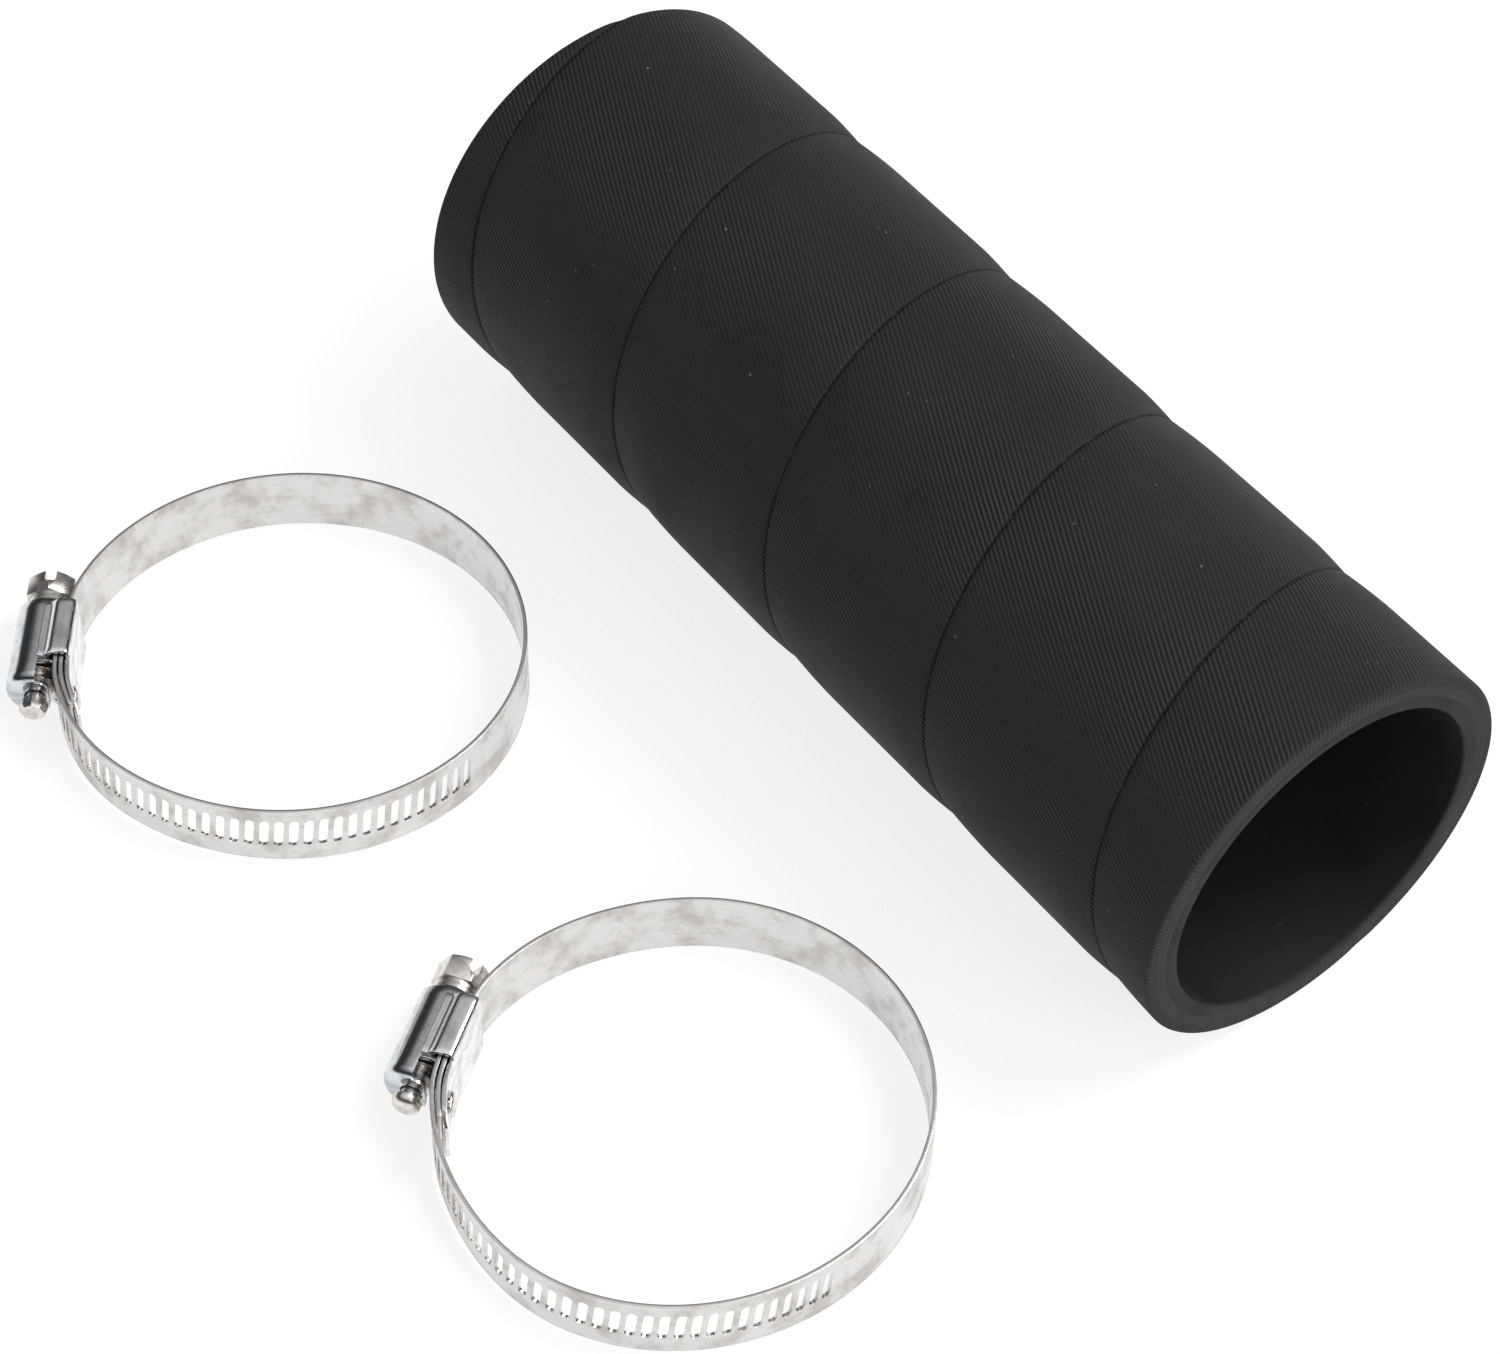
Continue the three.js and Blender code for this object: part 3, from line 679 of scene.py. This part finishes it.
def place_twice(name, make, node, body):
    """Makes one piece for each clamp, stores each point's place, puts it in place, hangs it on its body and hides
    the CAD part it stands for.
    """
    made = []
    for side in CLAMP_SIDES:
        piece = make(side, side + "_" + name)
        layer = piece.data.attributes.new("part_place", "FLOAT_VECTOR", "POINT")
        layer.data.foreach_set("vector", [value for vert in piece.data.vertices for value in vert.co])
        piece.data.transform(clamp_places[side])
        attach(piece, side + "_" + body)
        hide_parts(side + "_clamp_" + node)
        made.append(piece)
    print(name + ":", len(made[0].data.polygons), "faces each")
    return made


def thicken(piece, thickness):
    modifier = piece.modifiers.new("sheet", "SOLIDIFY")
    modifier.thickness = thickness * MM
    modifier.offset = 0
    modifier.use_even_offset = True
    return piece


# %% [markdown]
# ## The slotted band
# The strip is laid out flat first: length one way, width the other. Each slot sits in a cell of its
# own, and a ring of faces joins the slot's outline to the cell's edge, so no boolean cuts are needed
# and the mesh stays clean. The flat layout is then bent along the ring's line, thickened, and its
# edges are broken as a rolled strip's are.


# %% Line of the band
def soft_min(a, b, blend):
    nearness = max(blend - abs(a - b), 0) / blend
    return min(a, b) - nearness * nearness * blend / 4


def loop_point(angle):
    height = FLAT_CUT / 2 + loop_up * math.cos(angle)
    if math.cos(angle) > 0:
        height = soft_min(height, crown, FLAT_BLEND)
    return Vector((loop_across * math.sin(angle), height))


def loop_frame(angle, step=1e-3):
    ahead = (loop_point(angle + step) - loop_point(angle - step)).normalized()
    return loop_point(angle), Vector((-ahead.y, ahead.x))


TAIL_RISE = (2 * math.pi - math.radians(75), 2 * math.pi - math.radians(28))
FIXED_END_X = -16
TAIL_END_X = 8.6


def band_frame(angle):
    """A point of the band's middle and the way outwards; the tail climbs over the fixed end."""
    point, outward = loop_frame(angle)
    share = min(max((angle - TAIL_RISE[0]) / (TAIL_RISE[1] - TAIL_RISE[0]), 0), 1)
    return point + outward * share * share * (3 - 2 * share) * layer_step, outward


def angle_at(x):
    return math.asin(x / loop_across)


line_angles = np.linspace(angle_at(FIXED_END_X), 2 * math.pi + angle_at(TAIL_END_X), 4001)
line_points = np.array([band_frame(angle)[0] for angle in line_angles])
line_lengths = np.concatenate([[0], np.cumsum(np.linalg.norm(np.diff(line_points, axis=0), axis=1))])
band_length = line_lengths[-1]


def length_at(angle):
    return float(np.interp(angle, line_angles, line_lengths))


def with_slack(point, side):
    """Moves a point of the ring outwards by the ring's slack, which dies out under the housing."""
    skew, far, sides = SLACK[side]
    angle = math.atan2(point.x, point.y)
    share = min(max((abs(angle) - SLACK_START) / (SLACK_FULL - SLACK_START), 0), 1)
    out = skew * math.sin(2 * angle) + far * (1 - math.cos(angle)) / 2 + sides * math.sin(angle) ** 2
    out *= share * share * (3 - 2 * share)
    return point + out * Vector((math.sin(angle), math.cos(angle)))


def on_band(length, across, side):
    point, outward = band_frame(float(np.interp(length, line_lengths, line_angles)))
    point = with_slack(point, side)
    return (point.x, point.y, across)


print("band length:", round(float(band_length), 1), "mm")

# %% Flat layout
SIDE_SHARES = (-1, -0.66, -0.33, 0, 0.33, 0.66, 1)
SLOT_LENGTH = 6.5
SLOT_WIDTH = 1.6
SLOT_COUNT = 42
SLOT_RAISE = 0.6
SLOT_LEAN = THREAD_PITCH / (2 * math.pi * THREAD_RADIUS)
RIVET_X = -10.1
RIVET_HOLE = 1.35


def hole_ring(radius, straight, raise_by=0.0):
    """Twenty points round a slot or hole, matched to the twenty points of its cell's edge."""
    right = [(radius, raise_by + share * straight) for share in np.linspace(-1, 1, 5)]
    turns = [math.radians(turn) for turn in (30, 60, 90, 120, 150)]
    top = [(radius * math.cos(t), raise_by + straight + radius * math.sin(t)) for t in turns]
    left = [(-x, y) for x, y in reversed(right)]
    bottom = [(-x, 2 * raise_by - y) for x, y in top]
    return right + top + left + bottom


def round_hole_ring(radius):
    turns = [-52, -26, 0, 26, 52, 62, 76, 90, 104, 118]
    turns += [turn + 180 for turn in turns]
    return [(radius * math.cos(math.radians(t)), radius * math.sin(math.radians(t))) for t in turns]


def cell_edge(half_length, half_width):
    right = [(half_length, share * half_width) for share in SIDE_SHARES[1:-1]]
    top = [(share * half_length, half_width) for share in (1, 0.5, 0, -0.5, -1)]
    left = [(-x, y) for x, y in reversed(right)]
    bottom = [(-x, -y) for x, y in top]
    return right + top + left + bottom


def flat_strip(stations, cells, half_width_at):
    """Rows of quads between stations, and a ringed hole for each (centre, half length, ring)."""
    points, faces = [], []
    for start, end in zip(stations[:-1], stations[1:]):
        if any(start < centre < end for centre, half, ring in cells):
            continue
        first = len(points)
        for length in (start, end):
            points += [(length, share * half_width_at(length)) for share in SIDE_SHARES]
        faces += [tuple(first + k for k in face) for face in grid_faces(2, len(SIDE_SHARES))]
    for centre, half, ring in cells:
        first = len(points)
        for edge_ring in (cell_edge(half, half_width_at(centre)), ring):
            points += [(centre + x, y) for x, y in edge_ring]
        faces += [tuple(first + k for k in face) for face in grid_faces(2, len(ring), False, True)]
    return points, faces


housing_middle = length_at(2 * math.pi)
last_slot = housing_middle + 2 * THREAD_PITCH
slot_centres = [last_slot - k * THREAD_PITCH for k in range(SLOT_COUNT)]
first_edge = slot_centres[-1] - THREAD_PITCH / 2
last_edge = last_slot + THREAD_PITCH / 2
rivet_length = length_at(angle_at(RIVET_X))
RIVET_CELL = 2.4
TIP_LENGTH = 1.4
slot_cells = [(centre, THREAD_PITCH / 2, hole_ring(SLOT_WIDTH / 2, (SLOT_LENGTH - SLOT_WIDTH) / 2, SLOT_RAISE))
              for centre in slot_centres]
rivet_cell = (rivet_length, RIVET_CELL, round_hole_ring(RIVET_HOLE))


def band_stations():
    before = list(np.linspace(0, rivet_length - RIVET_CELL, 4))
    plain = list(np.linspace(rivet_length + RIVET_CELL, first_edge, 130))
    slotted = [centre + THREAD_PITCH / 2 for centre in reversed(slot_centres)]
    tip = [last_edge + 0.7, band_length - TIP_LENGTH, band_length - TIP_LENGTH / 2, band_length]
    return before + plain + slotted + tip


def band_half_width(length):
    """The free end's corners are clipped over its last stretch."""
    into_tip = max(length - (band_length - TIP_LENGTH), 0) / TIP_LENGTH
    return BAND_WIDTH / 2 * (1 - 0.3 * into_tip)


def lean_with_thread(length, across):
    """Slots lean as the thread does; the lean dies out in the plain stretches."""
    fade = max(first_edge - length, length - last_edge, 0) / 2.2
    return length - SLOT_LEAN * across * max(1 - fade, 0)


def make_band(side, name):
    flat, faces = flat_strip(band_stations(), slot_cells + [rivet_cell], band_half_width)
    flat = [(lean_with_thread(length, across), across) for length, across in flat]
    grain = [(length * MM, across * MM, 0) for length, across in flat]
    piece = mesh_object(name, [on_band(length, across, side) for length, across in flat], faces, grain)
    thicken(piece, BAND_THICKNESS)
    bevel(piece, 0.09 * MM)
    return finish_mesh(piece, 28)


bands = place_twice("slotted_band", make_band, "band", "clamp")

# %% [markdown]
# ## The saddle
# The saddle is pressed from one blank. A flat plate lies inside the ring under the housing, a tongue
# runs along the band to its rivet, and the two sides fold up past the band's edges, sweep inwards
# and clasp the housing. It is again one flat layout, bent across its width this time.


# %% Saddle sheet
STRAP_FROM = -5.4
STRAP_TO = 6.5
TONGUE_END_X = -16.5
TONGUE_HALF = 6.0
TONGUE_CHAMFER = 2.0
strap_side = HOUSING_MIDDLE_RADIUS + HOUSING_WALL / 2 + SHEET_GAP + SADDLE_THICKNESS / 2


def smooth_line(points, steps):
    """A soft curve through points, for a fold line."""
    points = [np.array(point, dtype=float) for point in points]
    padded = [2 * points[0] - points[1]] + points + [2 * points[-1] - points[-2]]
    line = []
    for a, b, c, d in zip(padded, padded[1:], padded[2:], padded[3:]):
        for t in np.linspace(0, 1, steps, endpoint=False):
            line.append(0.5 * ((2 * b) + (c - a) * t + (2 * a - 5 * b + 4 * c - d) * t * t
                               + (3 * b - a - 3 * c + d) * t ** 3))
    return line + [points[-1]]


def tab_line():
    plate = crown + saddle_offset
    middle = (tab_side + strap_side) / 2
    line = smooth_line([
        (plate, tab_side - 0.5), (plate + 0.25, tab_side - 0.16), (plate + 0.9, tab_side),
        (tail_outside + 0.1, tab_side), (tail_outside + 0.85, middle + 0.12),
        (tail_outside + 1.5, strap_side + 0.05), (tail_outside + 2.1, strap_side),
        (screw_height - 0.3, strap_side),
    ], 4)
    return [(y, min(z, tab_side)) for y, z in line]


def saddle_height(x):
    point, outward = loop_frame(angle_at(x))
    return point.y + outward.y * saddle_offset


def make_saddle(side, name):
    tab = tab_line()
    shares = [share * TONGUE_HALF for share in SIDE_SHARES]
    columns = [(y, -z) for y, z in reversed(tab)] + [(None, z) for z in shares] + list(tab)
    stations = list(np.linspace(STRAP_FROM, STRAP_TO, 13))
    points = []
    for x in stations:
        plate = saddle_height(x)
        points += [(x, plate if y is None else y, z) for y, z in columns]
    faces = grid_faces(len(stations), len(columns))
    grain = [(x * MM, z * MM, y * MM) for x, y, z in points]
    tongue_from = TONGUE_END_X
    flat_from, flat_to = RIVET_X - RIVET_CELL, RIVET_X + RIVET_CELL
    tongue = list(np.linspace(tongue_from, flat_from, 5)) + list(np.linspace(flat_to, STRAP_FROM, 4))

    def tongue_half(x):
        into_tip = max(TONGUE_END_X + TONGUE_CHAMFER - x, 0)
        return TONGUE_HALF - into_tip

    hole = (RIVET_X, RIVET_CELL, round_hole_ring(RIVET_HOLE))
    flat, more = flat_strip(tongue, [hole], tongue_half)
    first = len(points)
    for x, z in flat:
        points.append((x, saddle_height(x), z))
        grain.append((x * MM, z * MM, 0))
    faces += [tuple(first + k for k in face) for face in more]
    piece = mesh_object(name, points, faces, grain)
    thicken(piece, SADDLE_THICKNESS)
    bevel(piece, 0.14 * MM)
    return finish_mesh(piece, 28)


saddles = place_twice("saddle", make_saddle, "saddle", "clamp")

# %% [markdown]
# ## The housing
# The housing is a drawn tunnel with a round roof, two short legs, an open mouth for the screw head and
# a domed end with a hole for the screw's neck. One side is open below the roof, where the thread can
# be seen. The roof is a grid of arcs. Its end wall is drawn as rings round the hole, so that the dome's
# corner is a true rounding.

# %% Housing sheet
HOUSING_TIP_X = -9.5
HOUSING_MOUTH_X = 8.2
HOUSING_ROUNDING = 1.6
WINDOW_END_X = STRAP_FROM - SHEET_GAP
NECK_HOLE = 1.9
ARC_STEPS = 24


def housing_profile():
    """(x, radius) from the neck hole out over the rounded corner and along the roof."""
    bend = HOUSING_ROUNDING - HOUSING_WALL / 2
    wall_x = HOUSING_TIP_X + HOUSING_WALL / 2
    outer = HOUSING_MIDDLE_RADIUS
    rows = [(wall_x, radius) for radius in np.linspace(NECK_HOLE, outer - bend, 4)]
    for turn in (15, 30, 45, 60, 75, 90):
        angle = math.radians(turn)
        rows.append((wall_x + bend * (1 - math.cos(angle)), outer - bend * (1 - math.sin(angle))))
    rows += [(x, outer) for x in np.linspace(WINDOW_END_X, HOUSING_MOUTH_X, 10)]
    return rows


def make_housing(side, name):
    profile = housing_profile()
    points, faces = [], []
    half_turns = [math.pi * j / ARC_STEPS - math.pi / 2 for j in range(ARC_STEPS + 1)]
    for x, radius in profile:
        points += [(x, screw_height + radius * math.cos(a), radius * math.sin(a)) for a in half_turns]
    faces += grid_faces(len(profile), len(half_turns))
    foot = tail_outside + SHEET_GAP
    legs = [screw_height, screw_height - 0.3] + list(np.linspace(screw_height - 1.0, foot, 5))
    for z_side in (-1, 1):
        first = len(points)
        rows = [row for row in profile if row[1] > HOUSING_MIDDLE_RADIUS - HOUSING_ROUNDING]
        for x, radius in rows:
            points += [(x, y, z_side * radius) for y in legs]
        faces += [tuple(first + k for k in face) for face in grid_faces(
            len(rows), len(legs), keep=lambda i, j: j == 0 or rows[i][0] >= WINDOW_END_X - 0.01)]
    first = len(points)
    lower = [math.pi / 2 + math.pi * j / ARC_STEPS for j in range(ARC_STEPS + 1)]
    inner_rows = [row for row in profile if row[1] <= HOUSING_MIDDLE_RADIUS - HOUSING_ROUNDING + 0.5]
    shelf = 0.4
    for k, (x, radius) in enumerate(inner_rows):
        for a in lower:
            drop = min(radius, NECK_HOLE + shelf) if math.cos(a) < -0.2 else radius
            reach = min(radius, max(drop, (NECK_HOLE + shelf) / max(-math.cos(a), 0.2)))
            points.append((x, screw_height + reach * math.cos(a), reach * math.sin(a)))
    faces += [tuple(first + k for k in face) for face in grid_faces(len(inner_rows), len(lower))]
    grain = [(x * MM, math.atan2(z, y - screw_height) * 5 * MM, 0) for x, y, z in points]
    piece = mesh_object(name, points, faces, grain)
    thicken(piece, HOUSING_WALL)
    bevel(piece, 0.13 * MM)
    return finish_mesh(piece, 28)


housings = place_twice("screw_housing", make_housing, "housing", "clamp")

# %% [markdown]
# ## Rivet and screw
# Both are turned parts. The rivet is a low dome inside the ring with a shank through the saddle and the
# band. The screw's thread is a height above its core that depends on how far a point lies from the
# thread's crest, so one grid gives core, flanks and crest. The hex head is a prism cut by a cone,
# as a lathe leaves it, with a slot that has a rounded floor.

# %% Rivet
RIVET_SHANK = 1.1
RIVET_DOME = 2.3
RIVET_DOME_HEIGHT = 0.9
RIVET_SIDES = 40


def closed_lathe(name, profile, sides):
    """A turned solid from (x, radius) rows, capped with a single point at both ends."""
    rows = turned_points(profile, sides)
    points = [tuple(point) for row in rows for point in row]
    faces = grid_faces(len(profile), sides, False, True)
    for end, row in ((0, 0), (-1, len(profile) - 1)):
        centre = len(points)
        points.append((profile[end][0], 0, 0))
        ring = [row * sides + j for j in range(sides)]
        faces += [(ring[j], ring[(j + 1) % sides], centre) for j in range(sides)]
    return mesh_object(name, points, faces)


def make_rivet(side, name):
    seat = -saddle_offset + SADDLE_THICKNESS / 2 + SHEET_GAP
    dome = [(seat + RIVET_DOME_HEIGHT * t, RIVET_DOME * math.sqrt(1 - t * t))
            for t in (0.06, 0.2, 0.4, 0.6, 0.78, 0.9, 0.97)]
    start = -BAND_THICKNESS / 2
    profile = [(start, RIVET_SHANK), (seat, RIVET_SHANK), (seat, RIVET_DOME - 0.1)] + dome
    piece = closed_lathe(name, profile, RIVET_SIDES)
    point, outward = loop_frame(angle_at(RIVET_X))
    inwards = Vector((-outward.x, -outward.y, 0))
    tangent = Vector((outward.y, -outward.x, 0))
    turn = Matrix((inwards, tangent, inwards.cross(tangent))).transposed().to_4x4()
    piece.data.transform(Matrix.Translation((point.x * MM, point.y * MM, 0)) @ turn)
    return finish_mesh(piece, 40)


rivets = place_twice("rivet", make_rivet, "rivet", "clamp")

# %% Screw thread and collar
THREAD_ROOT = 2.7
CREST_HALF = 0.35
BASE_HALF = 0.62
THREAD_FROM = -8.2
THREAD_TO = 5.6
FLANGE_TO = 11.2
NECK_END_X = -11.0
SCREW_SIDES = 60


def thread_radius(x, angle):
    """Core radius plus the thread's height at a place; the lowest line is at whole pitches."""
    turns = x / THREAD_PITCH - (angle - math.pi) / (2 * math.pi)
    off = abs((turns + 0.5) % 1 - 0.5) * THREAD_PITCH
    flank = min(max((BASE_HALF - off) / (BASE_HALF - CREST_HALF), 0), 1)
    ends = min(max(min(x - THREAD_FROM, THREAD_TO - x) / 1.0, 0), 1)
    return THREAD_ROOT + (THREAD_RADIUS - THREAD_ROOT) * flank * ends


def screw_rows(tip_domed):
    """(x, radius) rows for tip, neck, collar and flange; None marks rows of thread."""
    tip = 2.45
    end = NECK_END_X - 2.1
    if tip_domed:
        nub = [(end + 1.5 * (1 - math.sin(t)), tip * math.cos(t)) for t in
               [math.radians(a) for a in (86, 72, 58, 44, 30, 16, 0)]]
    else:
        nub = [(end, 0.4), (end, tip - 0.5), (end + 0.25, tip - 0.27), (end + 0.5, tip)]
    neck = [(NECK_END_X - 0.15, tip), (NECK_END_X, tip - 0.15), (NECK_END_X, 1.6), (-8.7, 1.6)]
    thread = [(x, None) for x in np.arange(THREAD_FROM, THREAD_TO + 0.01, 0.1)]
    collar = [(5.75, 2.5), (6.0, 2.5), (6.1, 3.0), (6.2, 3.1), (9.05, 3.1), (9.15, 3.0), (9.15, 2.75),
              (9.3, 2.75), (9.3, 3.75), (9.42, 3.9), (10.1, 3.9), (10.2, 3.78), (10.3, 3.9),
              (11.08, 3.9), (FLANGE_TO, 3.78), (FLANGE_TO, 3.2)]
    return nub + neck + thread + collar


def make_screw_body(side):
    rows = screw_rows(side == "right")
    sides = SCREW_SIDES
    turn = 2 * math.pi / sides
    points = []
    for x, radius in rows:
        for j in range(sides):
            r = thread_radius(x, j * turn) if radius is None else radius
            if side == "left" and x < NECK_END_X and radius > 1.0:
                flat = math.pi / 4
                r *= math.cos(flat / 2) / math.cos((j * turn) % flat - flat / 2)
            points.append((x, r * math.cos(j * turn), r * math.sin(j * turn)))
    faces = grid_faces(len(rows), sides, False, True)
    for row, back in ((0, False), (len(rows) - 1, True)):
        centre = len(points)
        points.append((rows[row][0], 0, 0))
        ring = [row * sides + j for j in range(sides)]
        faces += [(ring[j], ring[(j + 1) % sides], centre) for j in range(sides)]
    return mesh_object(side + "_screw_core", points, faces)


# %% Screw head
HEAD_FLATS = 8.0
HEAD_LENGTH = 4.5
HEAD_SLOT_HALF = 0.95
HEAD_SLOT_DEPTH = 2.7
HEAD_TURN = {"left": 0.0, "right": 33.0}


def cut_with(piece, cutter, operation):
    modifier = piece.modifiers.new("cut", "BOOLEAN")
    modifier.object = cutter
    modifier.operation = operation
    modifier.solver = "EXACT"
    finish_mesh(piece, 28)
    bpy.data.objects.remove(cutter)


def make_head(side):
    head_to = FLANGE_TO + HEAD_LENGTH
    corner = HEAD_FLATS / 2 / math.cos(math.pi / 6)
    head = closed_lathe(side + "_head", [(FLANGE_TO - 0.05, corner), (head_to, corner)], 6)
    head.data.transform(Matrix.Rotation(math.radians(30), 4, "X"))
    cone = closed_lathe("cone", [(FLANGE_TO - 1, 6), (head_to - 0.75, 4.95), (head_to, 3.65)], 72)
    cut_with(head, cone, "INTERSECT")
    floor_x = head_to - HEAD_SLOT_DEPTH + HEAD_SLOT_HALF
    arc = [math.radians(a) for a in np.linspace(-90, 90, 9)]
    outline = [(floor_x - HEAD_SLOT_HALF * math.cos(a), HEAD_SLOT_HALF * math.sin(a)) for a in arc]
    outline += [(head_to + 1, HEAD_SLOT_HALF), (head_to + 1, -HEAD_SLOT_HALF)]
    count = len(outline)
    points = [(x, y, z) for z in (-9, 9) for x, y in outline]
    faces = [tuple(range(count))[::-1], tuple(range(count, 2 * count))]
    faces += [(k, (k + 1) % count, count + (k + 1) % count, count + k) for k in range(count)]
    cut_with(head, mesh_object("slot_tool", points, faces), "DIFFERENCE")
    bevel(head, 0.12 * MM, 2, 28)
    finish_mesh(head, 28)
    head.data.transform(Matrix.Rotation(math.radians(HEAD_TURN[side]), 4, "X"))
    return head


def make_screw(side, name):
    core, head = make_screw_body(side), make_head(side)
    shape = bmesh.new()
    shape.from_mesh(core.data)
    shape.from_mesh(head.data)
    bpy.data.objects.remove(head)
    shape.to_mesh(core.data)
    shape.free()
    core.name = name
    core.data.transform(Matrix.Translation((0, screw_height * MM, 0)))
    return finish_mesh(core, 28)


screws = place_twice("worm_screw", make_screw, "screw", "screw")

# %% [markdown]
# ## Steel finishes
# All the steel here is bright, but not the same. The strip is rolled: its brushing runs along its
# length, and hands have left faint smudges. The housing is plated and nearly a mirror. The
# saddle is tumbled, and the screw is turned, with fine rings round it.


# %% Sheet steel
def sheet_steel(name, dark, pale, roughness, smudge_scale, grain_depth):
    """Rolled sheet: brushing follows the stored flat layout of the sheet."""
    material, tree = new_material(name)
    flat = add_node(tree, "ShaderNodeAttribute", attribute_name="grain").outputs["Vector"]
    steel = use_group(tree, steel_surface, Vector=flat, Grain=1600.0, Stretch=0.04,
                      Smudge_Scale=smudge_scale)
    tone = math_node(tree, "MULTIPLY", steel["Brushing"], 0.6)
    tone = math_node(tree, "SUBTRACT", math_node(tree, "ADD", tone, 0.35), steel["Smudge"])
    colour = colour_mix(tree, map_range(tree, tone, -0.6, 0.8), dark, pale)
    rough = math_node(tree, "ADD", math_node(tree, "MULTIPLY", steel["Brushing"], 0.12), roughness - 0.06)
    rough = math_node(tree, "ADD", rough, math_node(tree, "MULTIPLY", steel["Smudge"], 0.12))
    bump = bump_of(tree, steel["Height"], grain_depth, 0.5)
    return close_material(material, tree, colour, rough, bump, Metallic=1.0)


band_finish = sheet_steel("rolled_band_steel", (0.47, 0.45, 0.435), (0.75, 0.735, 0.72), 0.27, 130.0, 0.00002)
housing_finish = sheet_steel("plated_housing_steel", (0.42, 0.44, 0.46), (0.72, 0.74, 0.76), 0.09, 260.0, 0.000004)
saddle_finish = sheet_steel("tumbled_saddle_steel", (0.5, 0.5, 0.5), (0.84, 0.84, 0.835), 0.17, 300.0, 0.00001)
for pieces, finish in ((bands, band_finish), (housings, housing_finish), (saddles, saddle_finish)):
    for piece in pieces:
        piece.data.materials.clear()
        piece.data.materials.append(finish)
print("sheet steels ready")

# %% Turned steel
material, tree = new_material("turned_screw_steel")
position = add_node(tree, "ShaderNodeAttribute", attribute_name="part_place").outputs["Vector"]
parts = add_node(tree, "ShaderNodeSeparateXYZ", {0: position}).outputs
swapped = add_node(tree, "ShaderNodeCombineXYZ", {"X": parts["Y"], "Y": parts["X"], "Z": parts["Z"]})
steel = use_group(tree, steel_surface, Vector=swapped.outputs[0], Grain=2200.0, Stretch=0.1,
                  Smudge_Scale=420.0)
tone = math_node(tree, "SUBTRACT", math_node(tree, "ADD", steel["Brushing"], 0.3), steel["Smudge"])
colour = colour_mix(tree, map_range(tree, tone, -0.5, 1.0), (0.52, 0.495, 0.47), (0.84, 0.81, 0.78))
rough = math_node(tree, "ADD", math_node(tree, "MULTIPLY", steel["Smudge"], 0.15), 0.26)
screw_finish = close_material(material, tree, colour, rough,
                              bump_of(tree, steel["Height"], 0.00001, 0.5), Metallic=1.0)
for piece in screws + rivets:
    piece.data.materials.clear()
    piece.data.materials.append(screw_finish)
print("turned steel ready")
